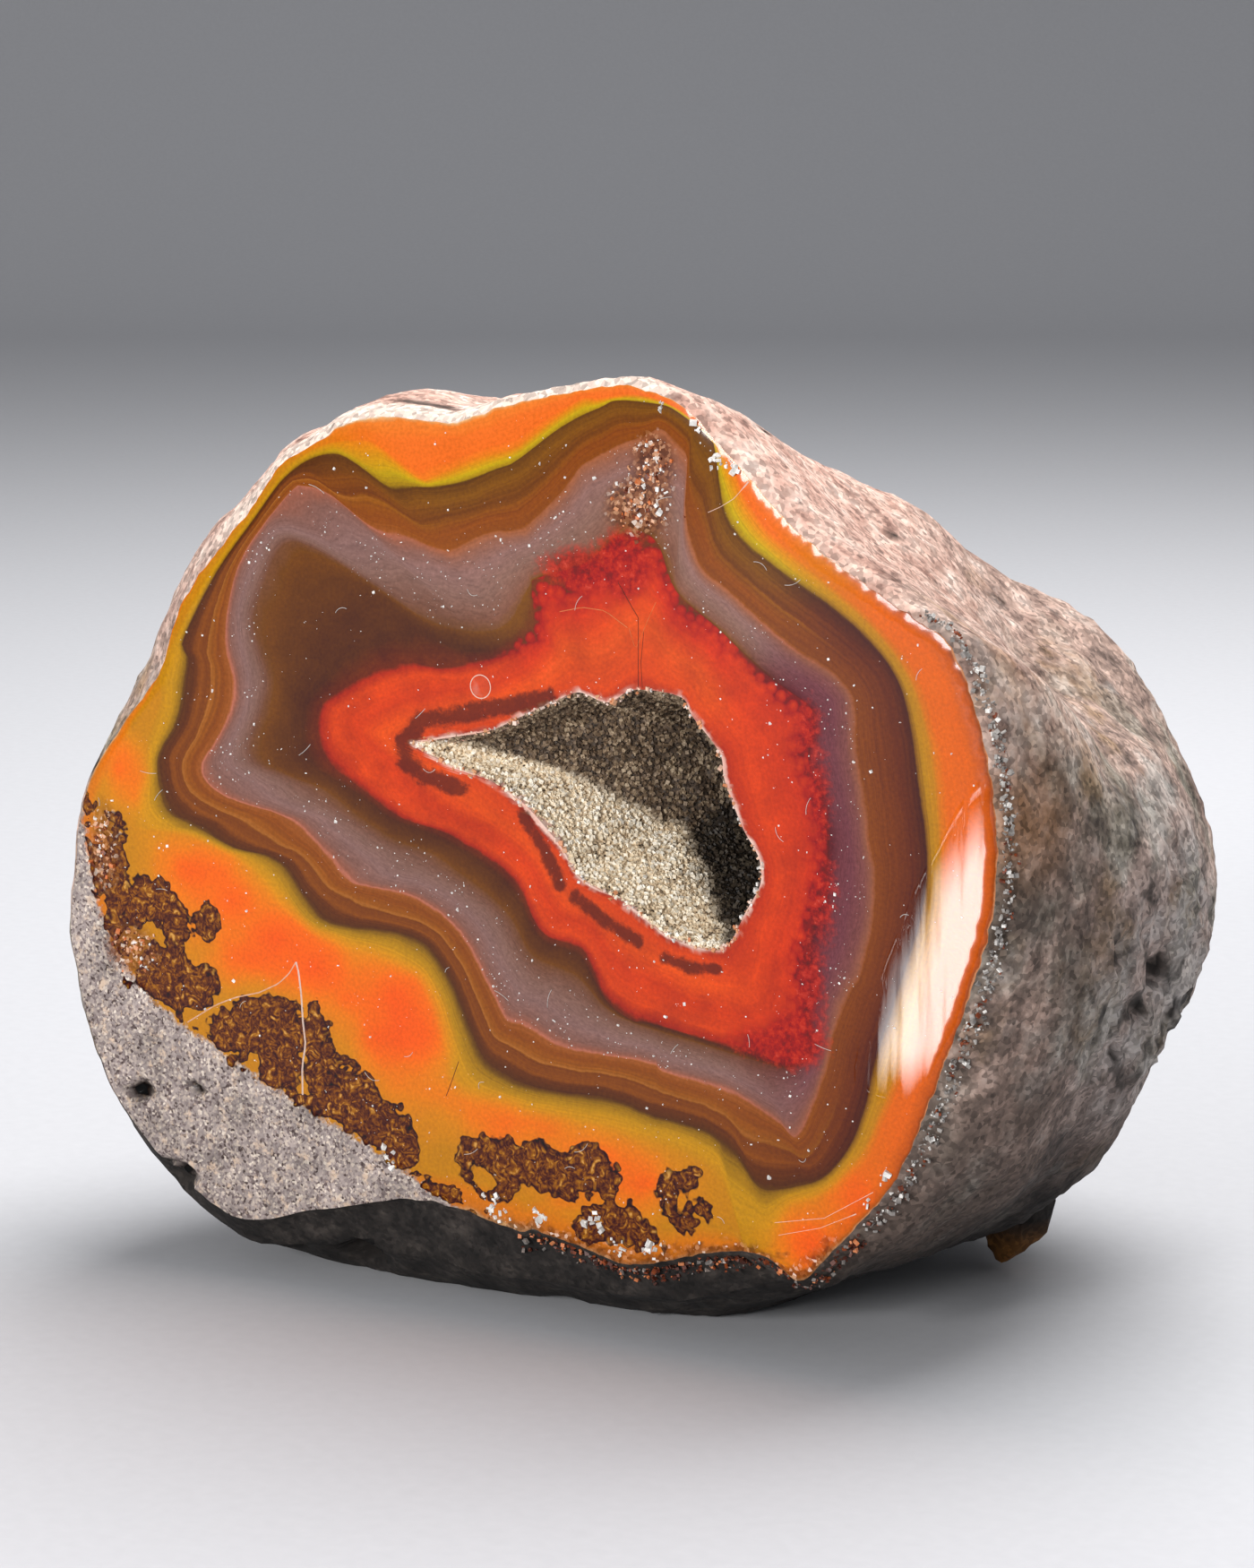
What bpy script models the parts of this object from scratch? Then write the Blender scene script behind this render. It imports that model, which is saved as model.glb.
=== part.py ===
"""Agate geode: one nodule of rock and banded agate, sawn flat, with a crust of fine crystals in its hollow.

Units in Blender are metres. The sizes below are in millimetres and are turned to metres where the meshes are made.
The cut face looks to -Y and the stone rests on a small flat spot at z = 0.
"""
import math

import bmesh
import bpy
import numpy as np

MM = 0.001
MERGE_DISTANCE = 0.00002      # metres
SHARP_ANGLE = 40              # degrees; edges sharper than this stay crisp

# Driving sizes of the stone, in millimetres
STONE_DEPTH = 50.0            # from the cut face to the end of the rough back
WORN_EDGE = 0.5               # how far the sharp sawn edge is worn back all round
RESTING_LEVEL = -36.3         # height of the flat spot below the heart of the face
FACE_CENTRE_X = 10.3          # from the heart of the face to the middle of the stone
CUT_FACE_Y = -25.0            # where the sawn plane lies
BODY_MIDDLE = (0.0, 25.0, -6.0)   # the swellings of the outside push away from here
CURVE_STEPS = 8               # points from one listed point of an outline to the next

# The sawn outline, x and z from the heart of the face, in millimetres, anticlockwise seen from the front
CUT_OUTLINE = [
    (-43.9, -0.7), (-40.3, 3.8), (-38.3, 6.4), (-37.3, 9.5), (-35.5, 12.4), (-33.0, 15.2), (-30.5, 18.0),
    (-28.3, 20.7), (-25.5, 22.3), (-22.6, 23.9), (-19.1, 24.4), (-14.9, 24.2), (-10.8, 25.4), (-7.0, 26.3),
    (-2.0, 27.2), (-0.4, 27.0), (2.6, 26.1), (5.0, 24.1), (9.4, 19.9), (13.2, 17.0), (19.2, 13.6),
    (21.8, 11.9), (23.7, 7.5), (24.7, 2.8), (25.2, -3.1), (24.9, -4.8), (23.1, -10.6), (21.0, -16.3),
    (18.4, -22.4), (16.0, -25.5), (13.2, -28.6), (11.4, -30.2), (8.7, -28.8), (5.1, -29.2), (-1.0, -30.9),
    (-5.1, -30.2), (-8.4, -29.6), (-10.0, -29.9), (-14.3, -29.0), (-18.2, -28.8), (-22.6, -29.8),
    (-26.7, -30.8), (-32.5, -32.2), (-37.7, -29.8), (-42.2, -25.7), (-45.2, -20.2), (-46.7, -13.6),
    (-46.6, -11.3), (-45.6, -4.5),
]

# The mouth of the hollow in the same way
MOUTH_OUTLINE = [
    (-17.7, 2.6), (-15.9, 3.1), (-11.9, 4.0), (-9.5, 5.1), (-6.9, 6.3), (-5.0, 7.1), (-2.8, 6.6), (-0.8, 7.6),
    (2.6, 7.4), (3.5, 6.2), (5.5, 4.0), (5.9, 2.2), (7.2, -0.7), (8.4, -2.6), (8.5, -4.3), (7.4, -6.3),
    (6.4, -8.2), (5.1, -9.0), (1.7, -8.4), (-1.1, -6.7), (-4.9, -5.2), (-6.3, -3.3), (-8.6, -1.1),
    (-10.3, 0.0), (-12.5, 0.9), (-14.8, 1.4),
]

# Sections behind the cut: depth, then left, right, bottom and top of the section, then how round
# its upper and its lower half have become, then how far each half drops or rises at the right side
BODY_SECTIONS = [
    (2.2, -48.2, 26.4, -35.2, 27.8, 0.05, 0.50, -0.8, 1.6),
    (6.0, -49.2, 27.4, -36.7, 28.0, 0.10, 0.90, -3.4, 3.2),
    (12.0, -49.0, 28.0, -37.1, 26.6, 0.16, 1.00, -7.0, 3.2),
    (19.0, -46.6, 28.2, -37.1, 23.4, 0.22, 1.00, -9.0, 2.4),
    (26.0, -43.2, 27.6, -36.8, 19.6, 0.34, 1.00, -8.0, 1.4),
    (32.5, -38.4, 26.2, -35.2, 16.2, 0.52, 1.00, -5.4, 0.8),
    (38.0, -32.6, 23.6, -31.8, 12.8, 0.72, 1.00, -2.6, 0.4),
    (43.0, -25.6, 20.0, -27.2, 8.4, 0.92, 1.00, -1.0, 0.0),
    (47.0, -17.2, 14.6, -21.0, 3.0, 1.00, 1.00, 0.0, 0.0),
    (49.2, -8.8, 7.6, -15.0, -2.4, 1.00, 1.00, 0.0, 0.0),
]
BACK_POLE = (-0.4, -8.6)      # x and z of the very end of the back
ROUND_POWER = 2.5             # 2 would make the rough sections plain ellipses
SPOKES = 96                   # points round each section
RINGS_PER_SPAN = 2            # rings from one section to the next

# The hollow and its crust of crystals
FLOOR_START = 0.5             # depth of the hollow at its pointed left end
FLOOR_SLOPE = 0.30            # how fast its back wall falls away to the right, at that end
FLOOR_STEEPENING = 0.014      # and how much faster with each millimetre
FLOOR_DEEPEST = 13.0
LOWER_WALL_SLOPE = 2.2        # steepness of the lit lower wall
UPPER_WALL_SLOPE = 4.0        # steepness of the walls above and to the right
CREASE_ROUNDING = 0.8         # rounding where the walls meet
CRUST_GAP = 0.3               # clearance between the stone and its crust
CRUST_THICKNESS = 1.0
CRUST_LIP_DEPTH = 0.5         # the crust begins this far inside the mouth
CRUST_LUMPS = 0.12            # height of the lumps on the crust
CRUST_LUMP_WAVES = (3.1, 2.7, 2.0)   # how closely the lumps follow each other across, up, and how far they sway
EDGE_SEARCHES = 40            # halvings in the search for the edge of the crust
WALL_RINGS = (0.985, 0.95, 0.90, 0.82, 0.72, 0.60, 0.46, 0.31, 0.15)

# Pits left by gas bubbles: x, depth and z of the middle from the heart of the face, then the radius
PITS = [
    (-41.3, -0.1, -24.1, 0.9),
    (-36.4, 0.1, -23.2, 0.5),
    (-37.6, 0.8, -31.0, 1.2),
    (-23.8, 2.6, -34.6, 1.6),
    (27.9, 27.6, -14.4, 1.0),
    (28.9, 19.0, -12.0, 1.2),
    (28.9, 12.8, -9.0, 0.9),
]

# The knob that hangs under the right flank: middle, then half sizes
KNOB_MIDDLE = (15.0, 28.5, -31.8)
KNOB_HALF = (2.4, 2.4, 3.3)
KNOB_SEGMENTS = 14
PIT_SEGMENTS = 10

# Slow swellings of the rough outside
SWELLING_HEIGHT = 0.55
SWELLING_WAVES = 26
SWELLING_LENGTHS = (9.0, 26.0)
SWELLING_SEED = 11


def closed_curve(points, steps):
    """Points along a smooth closed curve through the given ones."""
    knots = np.array(points, float)
    before, after, beyond = np.roll(knots, 1, 0), np.roll(knots, -1, 0), np.roll(knots, -2, 0)
    rows = []
    for step in range(steps):
        t = step / steps
        rows.append(0.5 * (2 * knots + (after - before) * t
                           + (2 * before - 5 * knots + 4 * after - beyond) * t ** 2
                           + (3 * knots - before - 3 * after + beyond) * t ** 3))
    return np.stack(rows, axis=1).reshape(-1, knots.shape[1])


def spoke_angles(count):
    """Even angles round the heart of the face, one of them through the hollow's pointed end."""
    tip = math.atan2(MOUTH_OUTLINE[0][1], MOUTH_OUTLINE[0][0])
    return tip - np.arange(count) * 2 * math.pi / count


def radius_at(outline, angles):
    """Distance from the heart to the outline along each spoke."""
    curve = closed_curve(outline, CURVE_STEPS)
    around = np.arctan2(curve[:, 1], curve[:, 0])
    order = np.argsort(around)
    return np.interp(angles, around[order], np.hypot(curve[:, 0], curve[:, 1])[order], period=2 * math.pi)


def along_spokes(radii, angles):
    return np.stack([radii * np.cos(angles), radii * np.sin(angles)], axis=1)


def section_values(position):
    """Section sizes at a fractional place in the list, eased through the neighbours."""
    rows = np.array(BODY_SECTIONS)
    first = min(int(position), len(rows) - 2)
    t = position - first
    before, here = rows[max(first - 1, 0)], rows[first]
    after, beyond = rows[first + 1], rows[min(first + 2, len(rows) - 1)]
    return 0.5 * (2 * here + (after - before) * t + (2 * before - 5 * here + 4 * after - beyond) * t ** 2
                  + (3 * here - before - 3 * after + beyond) * t ** 3)


def section_ring(rim, values):
    """One ring of the rough body: the sawn outline, stretched to the section and rounded toward an oval."""
    depth, left, right, bottom, top, round_above, round_below, drop_above, rise_below = values
    low, high = rim.min(axis=0), rim.max(axis=0)
    unit = (rim - low) / (high - low) * 2 - 1
    turn = np.arctan2(unit[:, 1], unit[:, 0])
    oval = np.stack([np.sign(np.cos(turn)) * np.abs(np.cos(turn)) ** (2 / ROUND_POWER),
                     np.sign(np.sin(turn)) * np.abs(np.sin(turn)) ** (2 / ROUND_POWER)], axis=1)
    below = 0.5 - 0.5 * np.sin(turn)
    roundness = (round_above + (round_below - round_above) * below)[:, None]
    shape = unit * (1 - roundness) + oval * roundness
    flat = shape * np.array([right - left, top - bottom]) / 2 + np.array([right + left, top + bottom]) / 2
    flat[:, 1] += unit[:, 0] * (drop_above * (1 - below) + rise_below * below)
    return np.stack([flat[:, 0], np.full(len(flat), depth), flat[:, 1]], axis=1)


def swelling(points):
    """Height of the slow natural swellings at each point."""
    chance = np.random.default_rng(SWELLING_SEED)
    total = np.zeros(len(points))
    for _ in range(SWELLING_WAVES):
        direction = chance.normal(size=3)
        direction /= np.linalg.norm(direction)
        length = chance.uniform(*SWELLING_LENGTHS)
        phase = chance.uniform(0, 2 * math.pi)
        total += np.sin(points @ direction * 2 * math.pi / length + phase) * length / SWELLING_LENGTHS[1]
    return total * SWELLING_HEIGHT / math.sqrt(SWELLING_WAVES / 2)


def rough_rings(count):
    """Rings of the outside from the sawn outline to the back, in millimetres: x, depth behind the cut, z."""
    angles = spoke_angles(count)
    radii = radius_at(CUT_OUTLINE, angles)
    rim = along_spokes(radii, angles)
    worn = along_spokes(radii + WORN_EDGE, angles)
    rings = [np.insert(rim, 1, 0.0, axis=1), np.insert(worn, 1, WORN_EDGE, axis=1)]
    spans = (len(BODY_SECTIONS) - 1) * RINGS_PER_SPAN
    middle = np.array(BODY_MIDDLE)
    for step in range(spans + 1):
        ring = section_ring(rim, section_values(step / RINGS_PER_SPAN))
        outward = ring - middle
        outward /= np.linalg.norm(outward, axis=1)[:, None]
        fade = min(1.0, ring[0, 1] / BODY_SECTIONS[2][0])
        ring += outward * (swelling(ring) * fade)[:, None]
        ring[:, 1] = np.maximum(ring[:, 1], WORN_EDGE * 2)
        ring[:, 2] = np.maximum(ring[:, 2], RESTING_LEVEL)
        rings.append(ring)
    return rings


def distance_to_path(points, path):
    """Shortest distance from each point to a line through the path's points."""
    best = np.full(len(points), np.inf)
    for start, end in zip(path[:-1], path[1:]):
        run = end - start
        share = np.clip((points - start) @ run / (run @ run), 0, 1)
        best = np.minimum(best, np.linalg.norm(points - start - share[:, None] * run, axis=1))
    return best


def soft_least(first, second):
    """The lesser of two depths, rounded where they cross."""
    blend = np.clip(0.5 + 0.5 * (second - first) / CREASE_ROUNDING, 0, 1)
    return second * (1 - blend) + first * blend - CREASE_ROUNDING * blend * (1 - blend)


def hollow_depth(points, inset):
    """Depth of the hollow's wall below the cut face, or of a surface that lies inset from that wall."""
    mouth = np.array(MOUTH_OUTLINE)
    corner = int(np.argmin(mouth[:, 1]))
    upper = distance_to_path(points, mouth[:corner + 1])
    lower = distance_to_path(points, np.vstack([mouth[corner:], mouth[:1]]))
    along = points[:, 0] - mouth[0, 0]
    back_wall = np.minimum(FLOOR_START + (FLOOR_SLOPE + FLOOR_STEEPENING * along) * along, FLOOR_DEEPEST)
    back_wall = back_wall - inset * np.hypot(1, FLOOR_SLOPE + 2 * FLOOR_STEEPENING * along)
    lower_wall = LOWER_WALL_SLOPE * lower - inset * math.hypot(1, LOWER_WALL_SLOPE)
    upper_wall = UPPER_WALL_SLOPE * upper - inset * math.hypot(1, UPPER_WALL_SLOPE)
    return soft_least(soft_least(lower_wall, upper_wall), back_wall)


def lip_radii(angles, inset, depth):
    """How far out along each spoke the inset surface still lies at the given depth."""
    inner = np.zeros(len(angles))
    outer = radius_at(MOUTH_OUTLINE, angles)
    for _ in range(EDGE_SEARCHES):
        middle = (inner + outer) / 2
        deep = hollow_depth(along_spokes(middle, angles), inset) > depth
        inner = np.where(deep, middle, inner)
        outer = np.where(deep, outer, middle)
    return inner


def hollow_rings(angles, inset, edge_depth, edge_radii):
    """Rings of a hollow surface from its edge inwards, in millimetres, and the point that closes them."""
    rings = [np.insert(along_spokes(edge_radii, angles), 1, edge_depth, axis=1)]
    for share in WALL_RINGS:
        flat = along_spokes(edge_radii * share, angles)
        depth = np.maximum(hollow_depth(flat, inset), edge_depth)
        rings.append(np.stack([flat[:, 0], depth, flat[:, 1]], axis=1))
    end = np.array([0.0, hollow_depth(np.zeros((1, 2)), inset)[0], 0.0])
    return rings, end


def mesh_from_rings(name, rings, first_pole, last_pole):
    """A closed mesh through rings of equal length, with a point that closes each end."""
    count = len(rings[0])
    points = np.vstack(rings + [first_pole[None], last_pole[None]]) * MM
    first, last = len(points) - 2, len(points) - 1
    faces = []
    for ring in range(len(rings) - 1):
        for spoke in range(count):
            following = (spoke + 1) % count
            here, there = ring * count, (ring + 1) * count
            faces.append((here + spoke, here + following, there + following, there + spoke))
    end = (len(rings) - 1) * count
    for spoke in range(count):
        following = (spoke + 1) % count
        faces.append((first, following, spoke))
        faces.append((last, end + spoke, end + following))
    mesh = bpy.data.meshes.new(name)
    mesh.from_pydata(points.tolist(), [], faces)
    made = bmesh.new()
    made.from_mesh(mesh)
    bmesh.ops.remove_doubles(made, verts=made.verts, dist=MERGE_DISTANCE)
    bmesh.ops.dissolve_degenerate(made, edges=made.edges, dist=MERGE_DISTANCE)
    bmesh.ops.recalc_face_normals(made, faces=made.faces)
    if made.calc_volume(signed=True) < 0:
        bmesh.ops.reverse_faces(made, faces=made.faces)
    made.to_mesh(mesh)
    made.free()
    return mesh


def add_object(name, mesh, material):
    mesh.materials.append(material)
    mesh.shade_smooth()
    mesh.set_sharp_from_angle(angle=math.radians(SHARP_ANGLE))
    thing = bpy.data.objects.new(name, mesh)
    bpy.context.collection.objects.link(thing)
    return thing


def principled(name, colour, roughness):
    material = bpy.data.materials.new(name)
    material.use_nodes = True
    shader = material.node_tree.nodes["Principled BSDF"]
    shader.inputs["Base Color"].default_value = (*colour, 1.0)
    shader.inputs["Roughness"].default_value = roughness
    shader.inputs["Metallic"].default_value = 0.0
    return material


def combine(thing, name, middle, half, operation, segments):
    """Join or cut a small rounded body with the stone, as a modifier with a hidden guide."""
    guide_mesh = bpy.data.meshes.new(name)
    made = bmesh.new()
    bmesh.ops.create_uvsphere(made, u_segments=segments, v_segments=segments // 2, radius=1.0)
    bmesh.ops.scale(made, vec=half, verts=made.verts)
    made.to_mesh(guide_mesh)
    made.free()
    guide = bpy.data.objects.new(name, guide_mesh)
    guide.location = middle
    guide.hide_render = True
    guide.display_type = "WIRE"
    bpy.context.collection.objects.link(guide)
    step = thing.modifiers.new(name, "BOOLEAN")
    step.operation = operation
    step.solver = "EXACT"
    step.object = guide


def in_world(x, depth, z):
    """A place given from the heart of the cut face, in millimetres, as a place in the scene."""
    return ((x + FACE_CENTRE_X) * MM, (depth + CUT_FACE_Y) * MM, (z - RESTING_LEVEL) * MM)


def build_nodule():
    angles = spoke_angles(SPOKES)
    outside = rough_rings(SPOKES)
    mouth = radius_at(MOUTH_OUTLINE, angles)
    hollow, hollow_end = hollow_rings(angles, 0.0, 0.0, mouth)
    back = np.array([BACK_POLE[0], STONE_DEPTH, BACK_POLE[1]])
    rings = hollow[::-1] + outside
    shift = np.array([FACE_CENTRE_X, CUT_FACE_Y, -RESTING_LEVEL])
    mesh = mesh_from_rings("agate_nodule", [ring + shift for ring in rings], hollow_end + shift, back + shift)
    nodule = add_object("agate_nodule", mesh, principled("banded agate", (0.60, 0.17, 0.04), 0.3))
    combine(nodule, "knob_guide", in_world(*KNOB_MIDDLE), [size * MM for size in KNOB_HALF], "UNION", KNOB_SEGMENTS)
    for number, (x, depth, z, radius) in enumerate(PITS):
        combine(nodule, f"pit_cutter_{number}", in_world(x, depth, z), [radius * MM] * 3, "DIFFERENCE", PIT_SEGMENTS)
    return nodule


def build_crust():
    angles = spoke_angles(SPOKES)
    outer_edge = lip_radii(angles, CRUST_GAP, CRUST_LIP_DEPTH)
    inner_edge = lip_radii(angles, CRUST_GAP + CRUST_THICKNESS, CRUST_LIP_DEPTH)
    inner_edge = np.minimum(inner_edge, outer_edge - CRUST_GAP / 2)
    back, back_end = hollow_rings(angles, CRUST_GAP, CRUST_LIP_DEPTH, outer_edge)
    front, front_end = hollow_rings(angles, CRUST_GAP + CRUST_THICKNESS, CRUST_LIP_DEPTH, inner_edge)
    across, up, sway = CRUST_LUMP_WAVES
    for ring in front[1:]:
        ring[:, 1] -= CRUST_LUMPS * (1 + np.sin(ring[:, 0] * across + np.cos(ring[:, 2] * up) * sway))
        ring[:, 1] = np.maximum(ring[:, 1], CRUST_LIP_DEPTH)
    shift = np.array([FACE_CENTRE_X, CUT_FACE_Y, -RESTING_LEVEL])
    rings = [ring + shift for ring in front[::-1] + back]
    mesh = mesh_from_rings("cavity_crust", rings, front_end + shift, back_end + shift)
    return add_object("cavity_crust", mesh, principled("fine grey crystals", (0.26, 0.24, 0.17), 0.7))


def main():
    for thing in list(bpy.data.objects):
        bpy.data.objects.remove(thing, do_unlink=True)
    build_nodule()
    build_crust()


main()
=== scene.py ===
# Agate geode: a nodule of rock and banded agate, sawn flat and polished, with fine crystals in its hollow.
import math

import bmesh
import bpy
import numpy as np
from mathutils import Matrix, Vector, noise


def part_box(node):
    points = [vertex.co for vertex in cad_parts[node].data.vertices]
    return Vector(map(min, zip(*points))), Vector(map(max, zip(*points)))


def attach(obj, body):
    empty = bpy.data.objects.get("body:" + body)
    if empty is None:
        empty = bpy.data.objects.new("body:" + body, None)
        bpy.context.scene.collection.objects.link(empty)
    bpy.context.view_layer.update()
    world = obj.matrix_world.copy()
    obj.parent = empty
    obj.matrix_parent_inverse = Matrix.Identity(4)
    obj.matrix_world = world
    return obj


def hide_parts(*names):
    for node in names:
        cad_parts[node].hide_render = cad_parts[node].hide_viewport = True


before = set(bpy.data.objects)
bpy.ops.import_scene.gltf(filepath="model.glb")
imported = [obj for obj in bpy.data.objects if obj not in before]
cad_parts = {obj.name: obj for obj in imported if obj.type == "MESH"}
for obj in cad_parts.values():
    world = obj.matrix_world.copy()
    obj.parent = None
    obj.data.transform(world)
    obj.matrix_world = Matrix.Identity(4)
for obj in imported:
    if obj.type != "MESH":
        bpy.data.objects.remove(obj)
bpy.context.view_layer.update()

mm = 0.001
stoneLow, stoneHigh = [np.array(corner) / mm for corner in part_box("agate_nodule")]

# The stone in millimetres. Places are x, depth and z: x and z from the heart of the face, depth from the cut
stone = {
    "heartFromLeft": 49.26,       # from the left end of the stone to the heart of the face
    "heartAboveFloor": 36.3,
    "depth": stoneHigh[1] - stoneLow[1],
    "height": 64.0,
    "middle": (0.0, (stoneHigh[1] - stoneLow[1]) / 2, -6.0),    # the rough outside swells away from here
    "backPole": (-0.4, -8.6),     # x and z of the point where the back closes
    "backShares": (0.86, 0.72, 0.58, 0.44, 0.30, 0.15),         # the rings on the way there
    "roundPower": 2.5,            # 2 would make the sections plain ellipses
    "faceSpokes": 640,            # points round each ring of the polished face
    "ringsPerSpan": 9,            # rings from one section of the outside to the next
    "wornEdge": 0.5,
    "rimChips": 0.14,             # how ragged the sawn edge is
    "bandGap": 0.12,              # the least width of a band
    "polishRound": 1.1,           # width of the rounded polished edge
    "polishTilt": 0.20,           # slope that the rounded edge reaches
    "swellingHeight": 0.55, "swellingWaves": 26, "swellingLengths": (9.0, 26.0), "swellingSeed": 11,
    "lumpHeight": 0.36,           # broad lumps of the rough outside
    "knapHeight": 0.20,           # smaller dents between them
    "pitRagged": 0.55,            # how ragged the pits are, as a share of their radius
    "crackMiddle": (-18.4, 3.2, 25.4), "crackHalf": (3.4, 1.0, 2.0),
    "knobMiddle": (13.5, 28.4, -31.1), "knobHalf": (2.4, 2.5, 4.0),
    "tuck": 2.0,                  # how far the lower right of the back draws in
    "tuckMiddle": (22.0, 30.0, -26.0), "tuckHalf": (15.0, 20.0, 15.0),
    "eatenHeight": 0.45,          # relief of the grey part of the flank, which is eaten into cavities
    "eatenMiddle": (27.0, 22.0, -12.0), "eatenHalf": (14.0, 15.0, 12.0),
    "ochreMiddle": (26.0, 2.5, 1.0),
}
heart = np.array([stoneLow[0] + stone["heartFromLeft"], stoneLow[1], stoneLow[2] + stone["heartAboveFloor"]])

# Sections behind the cut: depth, left, right, bottom, top, roundness above and below, drop above, rise below
bodySections = [
    (2.2, -48.2, 26.4, -35.2, 27.8, 0.05, 0.5, -0.8, 1.6),
    (6.0, -49.2, 27.4, -36.7, 27.4, 0.1, 0.9, -3.4, 3.2),
    (12.0, -49.0, 28.0, -37.1, 26.0, 0.16, 1.0, -7.0, 3.2),
    (19.0, -46.6, 28.2, -37.1, 23.4, 0.22, 1.0, -9.0, 2.4),
    (26.0, -43.2, 27.6, -36.8, 20.4, 0.34, 1.0, -8.0, 1.4),
    (32.5, -38.4, 26.2, -35.2, 17.2, 0.52, 1.0, -5.4, 0.8),
    (38.0, -32.6, 23.6, -31.8, 13.6, 0.72, 1.0, -2.6, 0.4),
    (43.0, -25.6, 20.0, -27.2, 8.4, 0.92, 1.0, -1.0, 0.0),
    (47.0, -17.2, 14.6, -21.0, 3.0, 1.0, 1.0, 0.0, 0.0),
    (49.2, -8.8, 7.6, -15.0, -2.4, 1.0, 1.0, 0.0, 0.0),
]

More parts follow.
